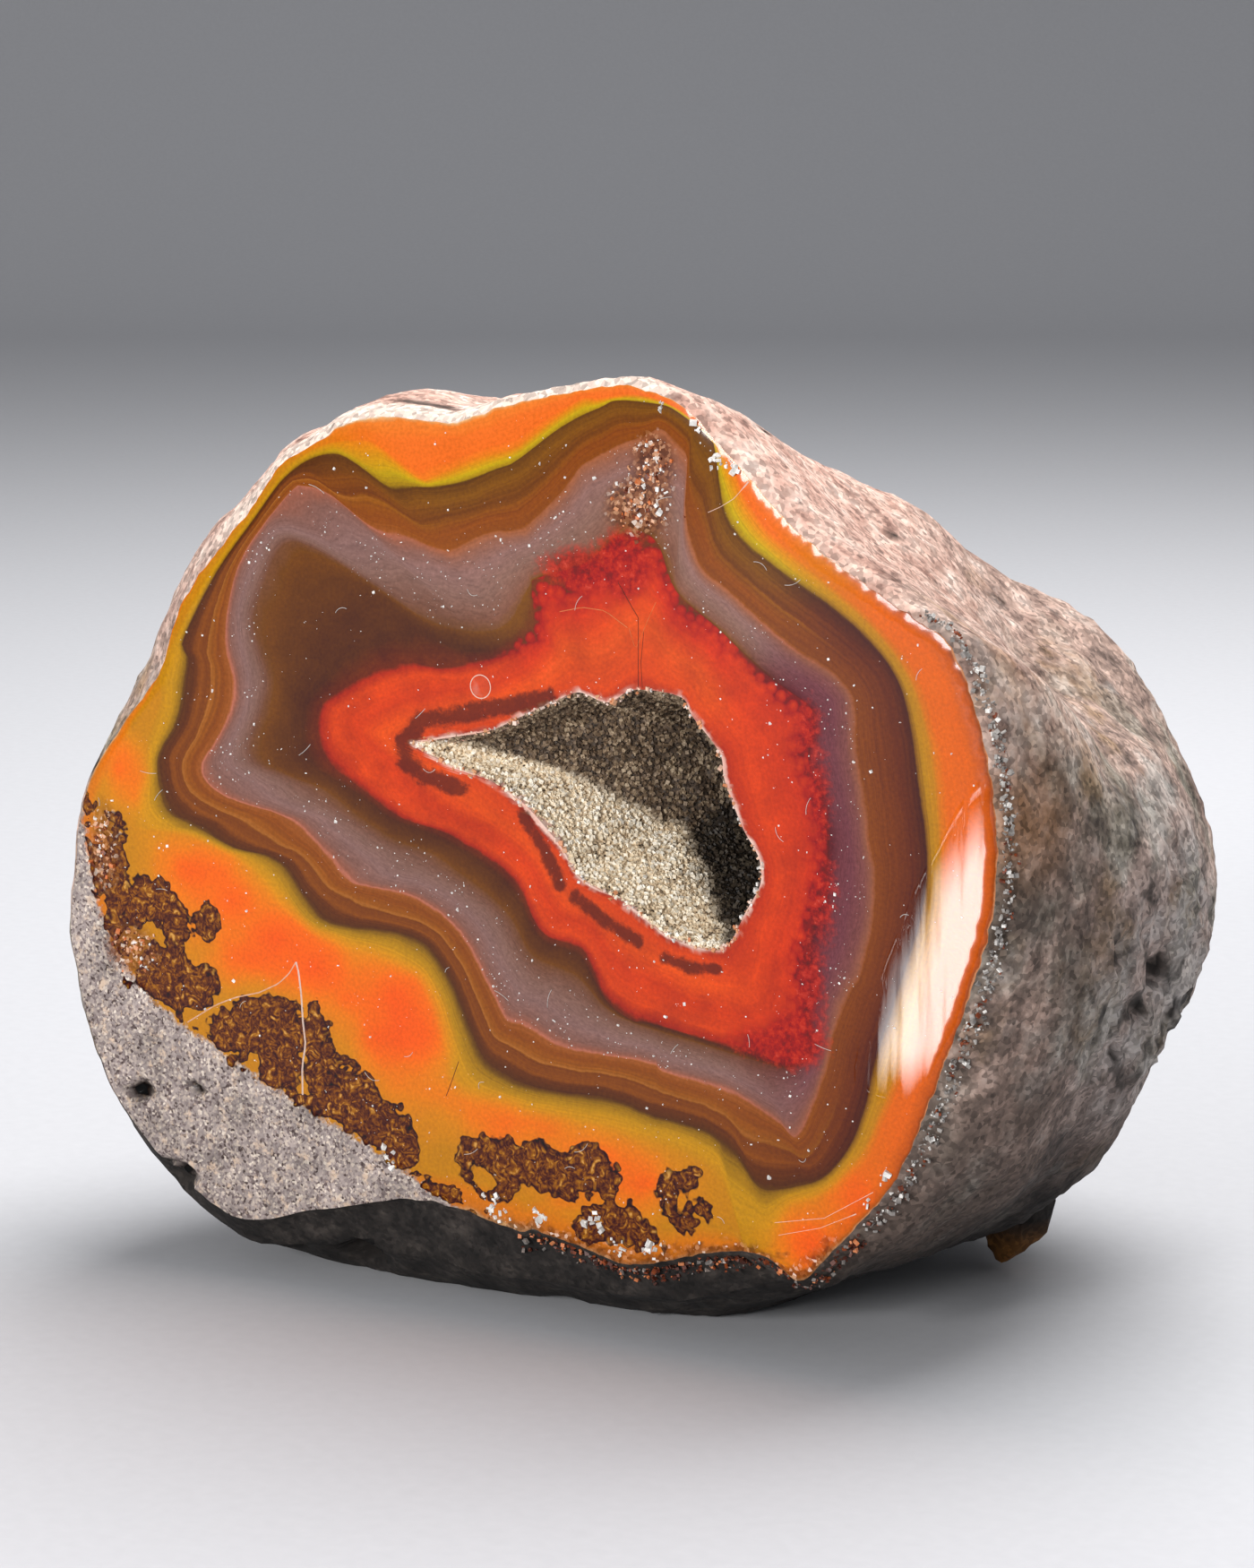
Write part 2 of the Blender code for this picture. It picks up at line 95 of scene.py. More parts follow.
# Outlines on the face, x and z in millimetres, from the sawn edge inwards
outlines = {
    "rim": [
        (-43.9, -0.7), (-40.3, 3.8), (-38.3, 6.4), (-37.3, 9.5), (-35.5, 12.4), (-33.0, 15.2),
        (-30.5, 18.0), (-28.3, 20.7), (-25.5, 22.3), (-22.6, 23.9), (-19.1, 24.4), (-14.9, 24.2),
        (-10.8, 25.4), (-7.0, 26.3), (-2.0, 27.2), (-0.4, 27.0), (2.6, 26.1), (5.0, 24.1), (9.4, 19.9),
        (13.2, 17.0), (19.2, 13.6), (21.8, 11.9), (23.7, 7.5), (24.8, 2.8), (25.1, -1.6), (24.6, -5.8),
        (23.1, -10.6), (21.0, -16.3), (18.4, -22.4), (16.0, -25.5), (13.2, -28.6), (11.4, -30.2),
        (8.7, -28.8), (5.1, -29.2), (-1.0, -30.9), (-5.1, -30.2), (-8.4, -29.6), (-10.0, -29.9),
        (-14.3, -29.0), (-18.2, -28.8), (-22.6, -29.8), (-26.7, -30.8), (-32.5, -32.2), (-37.7, -29.8),
        (-42.2, -25.7), (-45.2, -20.2), (-46.7, -13.6), (-46.6, -11.3), (-45.6, -4.5)],
    "orangeInner": [
        (-39.8, 0.3), (-38.4, 4.0), (-38.6, 5.8), (-36.8, 9.0), (-34.1, 13.3), (-30.3, 17.7), (-28.0, 20.3),
        (-26.6, 21.4), (-24.2, 22.4), (-21.8, 22.6), (-20.5, 22.4), (-17.2, 20.5), (-16.0, 20.7),
        (-13.0, 21.9), (-9.9, 22.8), (-8.7, 23.5), (-5.0, 26.0), (-3.5, 26.2), (-0.5, 26.6), (2.3, 25.9),
        (4.7, 24.2), (6.4, 22.2), (7.3, 20.2), (9.5, 17.8), (13.1, 15.3), (16.4, 13.0), (18.8, 10.3),
        (20.2, 7.2), (21.0, 3.5), (21.5, -2.9), (21.3, -5.5), (19.7, -12.6), (17.6, -17.8), (16.0, -21.2),
        (13.6, -23.9), (10.8, -25.5), (9.7, -27.7), (8.7, -28.4), (7.5, -28.3), (6.9, -27.5), (6.3, -24.9),
        (5.4, -23.8), (2.2, -22.6), (-4.4, -22.1), (-10.9, -21.6), (-14.4, -21.2), (-15.8, -18.6),
        (-16.7, -15.9), (-17.9, -13.8), (-19.1, -13.2), (-22.0, -12.6), (-25.2, -12.0), (-28.5, -10.2),
        (-30.4, -8.1), (-33.4, -6.4), (-37.1, -5.3), (-40.3, -5.2), (-40.9, -4.0), (-40.8, -2.9),
        (-39.9, -1.0)],
    "brownOuter": [
        (-38.8, -0.2), (-37.1, 2.7), (-36.1, 7.0), (-36.5, 8.2), (-33.7, 13.0), (-30.1, 17.4),
        (-28.0, 19.8), (-25.9, 21.2), (-23.7, 21.7), (-22.1, 21.1), (-19.5, 19.6), (-18.1, 19.7),
        (-14.4, 20.2), (-10.8, 21.4), (-9.5, 22.0), (-6.0, 24.4), (-3.3, 25.7), (-2.0, 26.2), (1.0, 26.1),
        (2.3, 25.7), (4.6, 24.2), (5.1, 23.2), (5.7, 19.8), (7.0, 17.9), (9.9, 15.9), (13.3, 14.0),
        (16.1, 12.0), (18.0, 9.8), (18.9, 7.4), (19.5, 3.9), (20.3, -1.3), (19.9, -5.3), (18.0, -11.3),
        (16.8, -14.8), (16.1, -18.1), (14.9, -20.9), (13.0, -23.1), (9.9, -24.2), (8.4, -24.1),
        (6.9, -22.3), (5.5, -21.5), (4.1, -21.0), (0.6, -20.5), (-2.7, -19.9), (-8.9, -19.8),
        (-11.0, -19.3), (-12.4, -18.5), (-13.1, -17.5), (-14.3, -14.8), (-15.0, -13.4), (-16.6, -11.4),
        (-17.8, -10.7), (-19.5, -10.4), (-23.5, -10.4), (-25.1, -10.1), (-26.1, -9.3), (-27.8, -7.2),
        (-28.9, -6.4), (-30.4, -6.0), (-32.5, -5.8), (-35.6, -4.6), (-38.2, -3.5)],
    "quartzOuter": [
        (-34.9, -0.1), (-33.8, 1.4), (-32.5, 3.6), (-32.2, 5.6), (-32.9, 8.9), (-32.2, 12.5), (-31.2, 14.7),
        (-29.5, 16.8), (-27.1, 19.2), (-26.3, 19.4), (-24.3, 19.0), (-21.9, 17.4), (-19.9, 16.6),
        (-18.5, 16.5), (-15.9, 15.8), (-14.6, 15.8), (-12.2, 16.8), (-9.6, 17.2), (-8.5, 17.7),
        (-5.9, 20.3), (-4.5, 21.9), (-2.1, 23.2), (0.1, 24.1), (1.2, 24.5), (2.8, 23.3), (3.1, 22.4),
        (2.9, 20.1), (3.1, 17.7), (4.3, 15.6), (6.5, 14.1), (10.4, 11.3), (14.6, 8.8), (15.2, 4.9),
        (15.7, 1.5), (16.6, -4.7), (15.7, -9.4), (15.1, -10.4), (14.0, -13.1), (12.6, -17.6), (11.2, -20.4),
        (9.9, -19.7), (7.2, -18.4), (5.9, -18.0), (1.5, -17.4), (0.6, -17.0), (-3.0, -16.9), (-6.4, -16.6),
        (-8.9, -15.7), (-10.3, -15.5), (-10.9, -15.0), (-12.7, -12.1), (-14.1, -10.1), (-16.0, -8.5),
        (-18.6, -7.6), (-21.7, -7.4), (-23.2, -7.1), (-25.1, -5.4), (-27.2, -3.7), (-28.4, -3.2),
        (-32.8, -2.4), (-34.7, -1.3)],
    "quartzInner": [
        (-29.5, -0.1), (-30.6, 0.5), (-30.9, 1.5), (-29.8, 4.4), (-29.4, 6.2), (-30.5, 9.6), (-30.1, 11.5),
        (-28.7, 14.6), (-27.4, 15.6), (-25.4, 15.2), (-23.2, 14.3), (-21.2, 13.3), (-19.0, 12.2),
        (-17.0, 11.3), (-13.6, 10.6), (-10.6, 11.2), (-8.3, 14.3), (-5.6, 15.1), (-4.4, 15.7), (-1.9, 17.9),
        (-0.9, 18.1), (1.0, 17.2), (2.4, 14.3), (4.3, 12.8), (9.0, 9.4), (12.0, 7.6), (12.4, 6.7),
        (12.1, 4.0), (13.3, 0.3), (13.4, -2.6), (12.2, -8.5), (11.7, -9.7), (12.2, -13.6), (11.9, -14.9),
        (10.9, -16.0), (9.5, -16.1), (3.5, -15.2), (-2.2, -14.1), (-5.1, -12.0), (-7.6, -11.3),
        (-8.9, -10.6), (-10.6, -8.2), (-13.9, -6.1), (-16.7, -4.7), (-20.0, -3.9), (-24.4, -1.5),
        (-25.9, -0.9)],
    "redOuter": [
        (-23.0, -0.1), (-24.0, 0.4), (-25.1, 2.0), (-25.1, 4.2), (-24.5, 5.1), (-22.0, 6.5), (-18.4, 7.8),
        (-15.2, 8.0), (-12.9, 8.5), (-10.5, 9.4), (-8.6, 10.8), (-8.3, 11.7), (-8.5, 13.8), (-8.0, 14.4),
        (-4.4, 15.6), (-1.8, 17.7), (-0.9, 18.0), (0.9, 17.2), (2.3, 14.2), (5.5, 11.9), (8.8, 9.3),
        (11.8, 7.6), (12.1, 6.7), (11.9, 4.0), (13.1, 0.3), (13.2, -2.7), (12.4, -5.7), (11.4, -9.7),
        (11.8, -12.3), (11.6, -14.8), (10.7, -15.8), (6.9, -15.3), (0.5, -14.3), (-0.9, -14.3),
        (-2.9, -13.1), (-4.6, -10.2), (-5.6, -9.7), (-7.9, -9.0), (-10.0, -5.9), (-13.9, -3.7),
        (-16.0, -3.0), (-18.7, -2.5), (-21.4, -1.1)],
    "mouth": [
        (-17.7, 2.6), (-15.9, 3.1), (-11.9, 4.0), (-9.5, 5.1), (-6.9, 6.3), (-5.0, 7.1), (-2.8, 6.6),
        (-0.8, 7.6), (2.6, 7.4), (3.5, 6.2), (5.5, 4.0), (5.9, 2.2), (7.2, -0.7), (8.4, -2.6), (8.5, -4.3),
        (7.4, -6.3), (6.4, -8.2), (5.1, -9.0), (1.7, -8.4), (-1.1, -6.7), (-4.9, -5.2), (-6.3, -3.3),
        (-8.6, -1.1), (-10.3, 0.0), (-12.5, 0.9), (-14.8, 1.4)],
}
bandEdges = ["mouth", "redOuter", "quartzInner", "quartzOuter", "brownOuter", "orangeInner", "rim"]
ringsBetween = [22, 6, 11, 12, 6, 36]      # rings of the face from one of these outlines to the next

# The line where the agate meets the grey host rock, from the left rim to the bottom rim
rockLine = [
    (-47.5, 0.0), (-45.7, -3.7), (-45.0, -6.6), (-44.5, -9.5), (-43.5, -12.7), (-41.4, -15.9),
    (-37.6, -18.5), (-33.1, -20.8), (-28.3, -22.8), (-24.4, -24.3), (-20.4, -26.0), (-16.9, -27.7),
    (-14.3, -29.0), (-11.0, -31.5)]

# Brown mossy growths in the clear agate, and windows in them: middle x and z, half width and half height
mossLobes = [
    (-39.9, -10.3, 2.7, 1.8), (-37.7, -11.6, 1.6, 1.5), (-35.1, -11.4, 1.4, 1.5), (-36.2, -16.0, 2.0, 2.0),
    (-38.5, -14.6, 1.2, 1.3), (-32.5, -18.7, 2.6, 1.6), (-29.8, -17.4, 2.5, 1.8), (-29.1, -20.5, 2.0, 2.2),
    (-26.0, -17.3, 1.1, 1.8), (-25.8, -20.4, 1.2, 2.2), (-23.3, -20.1, 0.7, 0.8), (-23.6, -23.0, 2.5, 1.5),
    (-20.7, -23.6, 2.5, 1.8), (-18.9, -25.5, 1.6, 1.5), (-22.5, -21.6, 1.3, 0.9), (-12.8, -25.0, 2.2, 1.7),
    (-10.0, -24.7, 2.4, 1.5), (-6.9, -25.5, 2.3, 1.6), (-4.4, -24.5, 2.0, 1.6), (-2.7, -25.5, 1.1, 1.2),
    (-11.1, -27.3, 1.4, 0.8), (1.7, -25.5, 0.8, 1.6), (3.1, -24.4, 1.0, 0.8), (4.4, -26.4, 0.8, 1.1),
    (2.7, -27.5, 1.3, 0.6), (-2.0, -27.9, 2.0, 1.3), (-4.4, -28.8, 1.2, 0.8), (-0.3, -28.6, 1.6, 0.9),
    (-42.6, -9.0, 1.3, 4.0), (-39.6, -15.6, 2.0, 1.8)]
mossWindows = [
    (-12.8, -26.7, 1.0, 0.7), (-23.3, -20.1, 0.25, 0.3), (2.9, -25.9, 0.5, 0.9)]

# Druse that sparkles, and patches where the red agate turns crimson and sugary
sparkleSpots = [
    (-43.6, -6.8, 1.3, 3.4), (-41.4, -13.9, 2.4, 1.9), (0.6, 22.1, 1.7, 2.4), (-0.6, 19.4, 2.6, 2.0)]
crimsonSpots = [
    (-4.6, 15.2, 3.6, 1.6), (-1.6, 15.6, 2.2, 2.6), (11.0, -14.2, 2.6, 2.0), (8.2, -14.6, 2.4, 1.0),
    (12.2, -10.5, 1.2, 3.0), (12.6, 1.5, 1.0, 3.2), (11.9, 6.0, 0.9, 1.8), (13.0, -4.6, 1.0, 3.0)]

# Orange flames in the yellow agate near the rim
emberLobes = [
    (-36.0, -7.8, 3.6, 1.9), (-32.5, -9.6, 3.8, 2.4), (-29.4, -11.9, 3.8, 2.8), (-26.0, -13.6, 3.0, 2.2),
    (-31.2, -13.6, 3.4, 2.2), (-19.4, -14.9, 3.2, 2.8), (-18.0, -17.4, 3.2, 2.9), (-21.0, -17.8, 2.4, 2.2),
    (-23.4, -15.6, 2.0, 1.6), (-14.0, -21.4, 3.0, 1.3), (-9.0, -22.2, 4.6, 1.3), (-4.5, -23.6, 4.0, 1.3),
    (0.2, -25.2, 3.0, 1.6), (-6.6, -27.4, 2.2, 0.8), (12.4, -27.6, 2.8, 2.6), (15.8, -24.0, 2.2, 3.2),
    (-42.2, -1.2, 1.5, 1.8), (-40.9, -3.0, 0.9, 1.2)]

# Dark see-through streaks where the hollow lies just under the face, and how wide they are
hollowShadows = [
    ([(-17.8, 3.3), (-17.2, 4.3), (-15.1, 4.7), (-12.3, 5.3), (-9.8, 5.9), (-7.3, 6.6)], 0.95),
    ([(-17.6, 3.5), (-18.7, 2.6), (-18.5, 1.4), (-17.2, 0.6), (-15.6, 0.2), (-14.2, 0.0)], 0.95),
    ([(-9.2, -1.5), (-7.5, -3.7), (-6.5, -5.7)], 0.78),
    ([(-5.2, -6.5), (-3.0, -7.9), (-0.6, -8.9)], 0.8),
    ([(1.5, -9.8), (3.4, -10.3), (5.3, -10.2)], 0.62),
]

# Pits left by gas bubbles: x, depth and z of the middle, then the radius
pits = [
    (-41.3, -0.1, -24.1, 0.9), (-36.4, 0.1, -23.2, 0.5), (-38.2, 1.2, -30.4, 1.5), (-24.8, 3.4, -34.0, 1.9),
    (27.9, 27.6, -14.4, 1.0), (27.9, 19.0, -11.5, 1.2), (28.1, 12.5, -8.8, 0.9), (27.7, 22.5, -15.0, 0.8),
    (28.4, 24.5, -10.0, 0.7), (26.9, 24.9, -17.7, 1.2), (26.2, 15.8, -16.5, 0.6), (27.2, 17.6, -14.1, 0.5),
    (-30.0, 3.4, -34.0, 0.7), (6.0, 9.0, 26.4, 0.6), (14.0, 15.0, 22.0, 0.5)]

# Where the softbox gleams on the polish, from above down: z, its inner x, its outer x
gleamRows = [
    (2.6, 24.4, 24.7), (-1.0, 22.8, 25.0), (-3.5, 21.4, 25.0), (-8.5, 19.3, 23.5), (-12.0, 18.2, 22.3),
    (-15.8, 16.9, 20.6), (-17.6, 16.4, 18.6)]

# The hollow in millimetres, and the points of its meshes
hollow = {
    "floorStart": 0.5, "floorSlope": 0.30, "floorSteepening": 0.014, "floorDeepest": 13.0,
    "lowerWall": 2.5, "upperWall": 4.0, "creaseRounding": 0.8,
    "crust": 1.1,                 # thickness of the crust away from the mouth
    "crustAtMouth": 0.02, "crustSlant": 1.4,
    "lipDepth": 0.12, "lump": 0.30,
    "spokes": 360, "rings": 34, "stoneRings": 9,
}


def closedCurve(points, steps):
    # a smooth closed curve through the points
    knots = np.array(points, float)
    before, after, beyond = np.roll(knots, 1, 0), np.roll(knots, -1, 0), np.roll(knots, -2, 0)
    rows = [splineAt(before, knots, after, beyond, step / steps) for step in range(steps)]
    return np.stack(rows, axis=1).reshape(-1, knots.shape[1])


def splineAt(before, here, after, beyond, t):
    return 0.5 * (2 * here + (after - before) * t + (2 * before - 5 * here + 4 * after - beyond) * t ** 2
                  + (3 * here - before - 3 * after + beyond) * t ** 3)


def spokeAngles(count):
    tip = math.atan2(outlines["mouth"][0][1], outlines["mouth"][0][0])
    return tip - np.arange(count) * 2 * math.pi / count


def radiusAt(outline, angles):
    curve = closedCurve(outlines[outline], 8)
    around = np.arctan2(curve[:, 1], curve[:, 0])
    order = np.argsort(around)
    return np.interp(angles, around[order], np.hypot(curve[:, 0], curve[:, 1])[order], period=2 * math.pi)


def alongSpokes(radii, angles):
    return np.stack([radii * np.cos(angles), radii * np.sin(angles)], axis=1)


def placed(flat, depth):
    # places on the face, as x and z, put at a depth behind it
    return np.stack([flat[:, 0], np.broadcast_to(depth, len(flat)), flat[:, 1]], axis=1)


def smoothStep(low, high, value):
    t = np.clip((value - low) / (high - low), 0, 1)
    return t * t * (3 - 2 * t)


def lengths(rows):
    return np.linalg.norm(rows, axis=1)


def eggReach(points, middle, half):
    # 0 in the middle of an egg and 1 at its skin
    return lengths((points - np.array(middle)) / np.array(half))


def ovalReach(flat, x, z, halfWidth, halfHeight):
    return np.hypot((flat[:, 0] - x) / halfWidth, (flat[:, 1] - z) / halfHeight)


def distanceToPath(points, path):
    return np.abs(sideOfPath(points, path))


def sideOfPath(points, path):
    # distance to an open line, positive on its right as it runs, in millimetres
    best = np.full(len(points), np.inf)
    side = np.ones(len(points))
    for start, end in zip(np.array(path[:-1], float), np.array(path[1:], float)):
        run = end - start
        offset = points - start
        share = np.clip(offset @ run / (run @ run), 0, 1)
        away = lengths(offset - share[:, None] * run)
        cross = run[0] * offset[:, 1] - run[1] * offset[:, 0]
        side = np.where(away < best, np.where(cross > 0, -1.0, 1.0), side)
        best = np.minimum(best, away)
    return best * side


def insideOf(points, outline):
    # signed distance to a closed outline in millimetres, positive inside
    knots = np.array(outline, float)
    away = distanceToPath(points, np.vstack([knots, knots[:1]]))
    inside = np.zeros(len(points), bool)
    for start, end in zip(knots, np.roll(knots, -1, 0)):
        crosses = (start[1] > points[:, 1]) != (end[1] > points[:, 1])
        where = start[0] + (points[:, 1] - start[1]) * (end[0] - start[0]) / (end[1] - start[1] + 1e-12)
        inside ^= crosses & (points[:, 0] < where)
    return np.where(inside, away, -away)


def lobeField(flat, lobes, blend=0.35):
    # roughly the distance inside the nearest lobe, in millimetres, with the lobes run together
    total = np.zeros(len(flat))
    for x, z, halfWidth, halfHeight in lobes:
        inside = (1 - ovalReach(flat, x, z, halfWidth, halfHeight)) * min(halfWidth, halfHeight)
        total += np.exp(np.clip(inside / blend, -30, 30))
    return np.log(total + 1e-9) * blend


def fractalAt(points, scale, octaves):
    # smooth random relief from about -1 to 1, one value for each point
    return np.array([noise.fractal(Vector(point) * scale, 0.9, 2.1, octaves) for point in points.tolist()])


def softLeast(first, second):
    blend = np.clip(0.5 + 0.5 * (second - first) / hollow["creaseRounding"], 0, 1)
    return second * (1 - blend) + first * blend - hollow["creaseRounding"] * blend * (1 - blend)


def mouthSides():
    # the upper and the lower side of the hollow's mouth, parted at its lowest point
    mouth = outlines["mouth"]
    lowest = min(range(len(mouth)), key=lambda k: mouth[k][1])
    return mouth[:lowest + 1], mouth[lowest:] + mouth[:1]


def hollowDepth(flat):
    # depth of the hollow's wall: two slanting walls and a floor that falls away to the right
    upper, lower = [distanceToPath(flat, side) for side in mouthSides()]
    along = flat[:, 0] - outlines["mouth"][0][0]
    floor = hollow["floorStart"] + (hollow["floorSlope"] + hollow["floorSteepening"] * along) * along
    floor = np.minimum(floor, hollow["floorDeepest"])
    return softLeast(softLeast(hollow["lowerWall"] * lower, hollow["upperWall"] * upper), floor)


def ringFaces(first, count, second):
    spoke = np.arange(count)
    following = (spoke + 1) % count
    return np.stack([first + spoke, first + following, second + following, second + spoke], axis=1).tolist()


def fan(pole, first, count):
    # triangles from a pole to each side of a ring
    return [(pole, first + spoke, first + (spoke + 1) % count) for spoke in range(count)]


def shellFaces(rings, count):
    # faces of a closed shell: its rings, then its two poles, which are its last two points
    faces = []
    for ring in range(rings - 1):
        faces += ringFaces(ring * count, count, (ring + 1) * count)
    first, last = fan(rings * count, 0, count), fan(rings * count + 1, (rings - 1) * count, count)
    for (pole, here, there), other in zip(first, last):
        faces += [(pole, there, here), other]
    return faces


def turnedOutward(points, faces):
    # faces in the order that makes the closed shape's volume positive
    points = np.asarray(points)
    volume = 0.0
    for face in faces:
        corners = points[list(face)]
        for k in range(1, len(face) - 1):
            volume += np.dot(corners[0], np.cross(corners[k], corners[k + 1]))
    return faces if volume > 0 else [list(reversed(face)) for face in faces]


def newObject(name, points, faces, material, sharp=40):
    mesh = bpy.data.meshes.new(name)
    mesh.from_pydata((np.asarray(points) * mm).tolist(), [], faces)
    mesh.validate()
    mesh.materials.append(material)
    mesh.shade_smooth()
    if sharp:
        mesh.set_sharp_from_angle(angle=math.radians(sharp))
    thing = bpy.data.objects.new(name, mesh)
    bpy.context.collection.objects.link(thing)
    return thing


def storeValues(thing, values):
    for name, numbers in values.items():
        attribute = thing.data.attributes.new(name, "FLOAT", "POINT")
        attribute.data.foreach_set("value", np.asarray(numbers, np.float32))


# Materials

def linear(hexColour):
    channels = [int(hexColour[k:k + 2], 16) / 255 for k in (1, 3, 5)]
    return [c / 12.92 if c <= 0.04045 else ((c + 0.055) / 1.055) ** 2.4 for c in channels] + [1.0]


def addNode(tree, kind, inputs=(), stops=None, give=0, **settings):
    # adds one node with its settings and links, and gives back one of its outputs
    node = tree.nodes.new(kind)
    for name, value in settings.items():
        setattr(node, name, value)
    if stops:
        ramp = node.color_ramp
        while len(ramp.elements) < len(stops):
            ramp.elements.new(1.0)
        for element, (position, colour) in zip(ramp.elements, sorted(stops)):
            element.position = position
            element.color = linear(colour) if isinstance(colour, str) else [colour] * 3 + [1.0]
    for name, value in inputs.items() if isinstance(inputs, dict) else enumerate(inputs):
        if isinstance(value, bpy.types.NodeSocket):
            tree.links.new(value, node.inputs[name])
        else:
            isColour = isinstance(value, str) and value.startswith("#")
            node.inputs[name].default_value = linear(value) if isColour else value
    return node if give is None else node.outputs[give]


def newMaterial(name):
    # an empty material, and what adds a shader node to it
    material = bpy.data.materials.new(name)
    material.use_nodes = True
    material.node_tree.nodes.clear()

    def add(kind, *inputs, **settings):
        return addNode(material.node_tree, "ShaderNode" + kind, *inputs, **settings)
    return material, add


def layered(add, colour, layers):
    # lays each layer over the colour by its share from 0 to 1; a layer that is a number lights or darkens it
    for share, layer in layers:
        if getattr(layer, "type", "") == "VALUE":
            layer = add("VectorMath", {0: colour, 3: layer}, operation="SCALE")
        if share is not None:
            layer = add("Mix", {0: share, 6: colour, 7: layer}, give=2, data_type="RGBA")
        colour = layer
    return colour


# Colours across the bands: 0 is the mouth of the hollow, 1 the edge of the red agate, 2 and 3 the quartz
# band, 4 the edge of the brown agate, 5 the edge of the yellow, 6 the sawn edge of the stone
bandColours = {
    "left": [
        (0.0, "#D8A898"), (0.02, "#8E2410"), (0.08, "#C2401A"), (0.35, "#CC4A1C"), (0.6, "#BC3A16"),
        (0.85, "#C2401C"), (0.96, "#9E2C12"), (1.01, "#642C0A"), (1.25, "#4E2C06"), (1.7, "#5C360A"),
        (1.88, "#683E18"), (2.12, "#6E4A3C"), (2.35, "#7A5A50"), (2.6, "#80605A"), (2.85, "#7C564C"),
        (2.95, "#8A5646"), (3.0, "#A86450"), (3.04, "#8E5028"), (3.2, "#80441C"), (3.38, "#8A4E1E"),
        (3.46, "#985C2A"), (3.49, "#703C14"), (3.7, "#7C441A"), (3.78, "#603418"), (3.96, "#523010"),
        (4.03, "#624210"), (4.16, "#8C6614"), (4.4, "#AC7C16"), (4.75, "#C88C1C"), (4.95, "#D47E20"),
        (5.12, "#E26224"), (5.5, "#E45E24"), (5.85, "#DC6426"), (5.96, "#C06A2C"), (6.0, "#C89868")],
    "right": [
        (0.0, "#D0988A"), (0.03, "#A83014"), (0.3, "#C43E18"), (0.75, "#B83414"), (0.93, "#9A2412"),
        (1.0, "#701A18"), (1.5, "#5A2020"), (2.0, "#58242A"), (2.2, "#66343A"), (2.5, "#6A3A40"),
        (2.8, "#744440"), (2.95, "#84503E"), (3.0, "#8E5238"), (3.06, "#7A4018"), (3.4, "#6C3610"),
        (3.75, "#5C2C0C"), (4.0, "#46240C"), (4.1, "#7A5010"), (4.4, "#A87614"), (4.8, "#B0721A"),
        (5.0, "#C4661A"), (5.15, "#D25A1A"), (5.6, "#D4581C"), (5.9, "#B44E16"), (5.97, "#8A4018"),
        (6.0, "#C08058")],
    "top": [
        (0.0, "#D8A898"), (0.02, "#A43014"), (0.1, "#C8441C"), (0.4, "#CC4C20"), (0.7, "#BC3418"),
        (0.9, "#A42618"), (0.99, "#8A2214"), (1.05, "#6A3010"), (1.5, "#6E4212"), (1.95, "#74481C"),
        (2.12, "#7C5242"), (2.4, "#826054"), (2.7, "#88645C"), (2.9, "#8A5A48"), (3.0, "#9C5E40"),
        (3.06, "#82461A"), (3.3, "#844616"), (3.45, "#7C4812"), (3.52, "#6C3E0E"), (3.8, "#784C0E"),
        (4.0, "#5C3A0C"), (4.1, "#9C7A12"), (4.35, "#B89A1C"), (4.6, "#C88E1E"), (4.95, "#DC7424"),
        (5.15, "#E46428"), (5.6, "#E4682C"), (5.9, "#DE7630"), (5.97, "#D89A60"), (6.0, "#DCC0A0")],
}

# The polished agate; noise rows are scale per metre, detail and roughness, and the shares run along the bands
agate = {
    "bandWander": 0.10,           # how far the bands wander, in bands
    "laminaContrast": 0.16,       # light and dark of the finest layers
    "fibreContrast": 0.26,        # light and dark fibres across the quartz band
    "darken": 0.97,               # all agate colours are multiplied by this
    "veil": (0.012, 0.012, 0.012),    # taken off, because the polish adds as much of the pale room
    "darkest": (0.0015, 0.0015, 0.0015),
    "gleamTilt": (0.12, 0.0, 0.24),   # how the polish leans where it gleams
    "noises": {
        "slow": (260.0, 3.0, 0.5), "quick": (1500.0, 4.0, 0.7), "grain": (4200.0, 2.0, 0.5),
        "flames": (170.0, 2.5, 0.45), "clouds": (420.0, 5.0, 0.6), "crimson": (2100.0, 3.0, 0.65),
        "scallop": (620.0, 2.0, 0.5), "clumps": (1000.0, 3.0, 0.7),
    },
    "fringe": [(0.6, 0.0), (0.95, 1.0), (1.6, 0.5), (2.2, 0.0)],
    "shares": {
        "layers": [(0.0, 0.5), (1.0, 0.5), (1.8, 0.2), (2.9, 0.15), (3.0, 1.0), (4.6, 1.0), (5.2, 0.3)],
        "flames": [(4.35, 0.0), (4.9, 0.85), (5.7, 0.85), (5.93, 0.25), (6.0, 0.0)],
        "red": [(0.05, 0.0), (0.3, 1.0), (1.0, 1.0), (1.9, 0.5), (2.2, 0.2)],
        "quartz": [(1.9, 0.0), (2.15, 1.0), (2.8, 1.0), (2.97, 0.0)],
    },
}


def bandColour(add, band, stops):
    # colour by band; two ramps, because one holds no more than 32 colours
    lowPlace = add("Math", (band, 3.0), operation="DIVIDE")
    highPlace = add("Math", (lowPlace, 1.0), operation="SUBTRACT")
    isHigh = add("Math", (band, 3.0), operation="GREATER_THAN")
    lowStops = [(place / 3, colour) for place, colour in stops if place <= 3]
    highStops = [(place / 3 - 1, colour) for place, colour in stops if place >= 3]
    low = add("ValToRGB", (lowPlace,), stops=lowStops)
    high = add("ValToRGB", (highPlace,), stops=highStops)
    return layered(add, low, [(isHigh, high)])


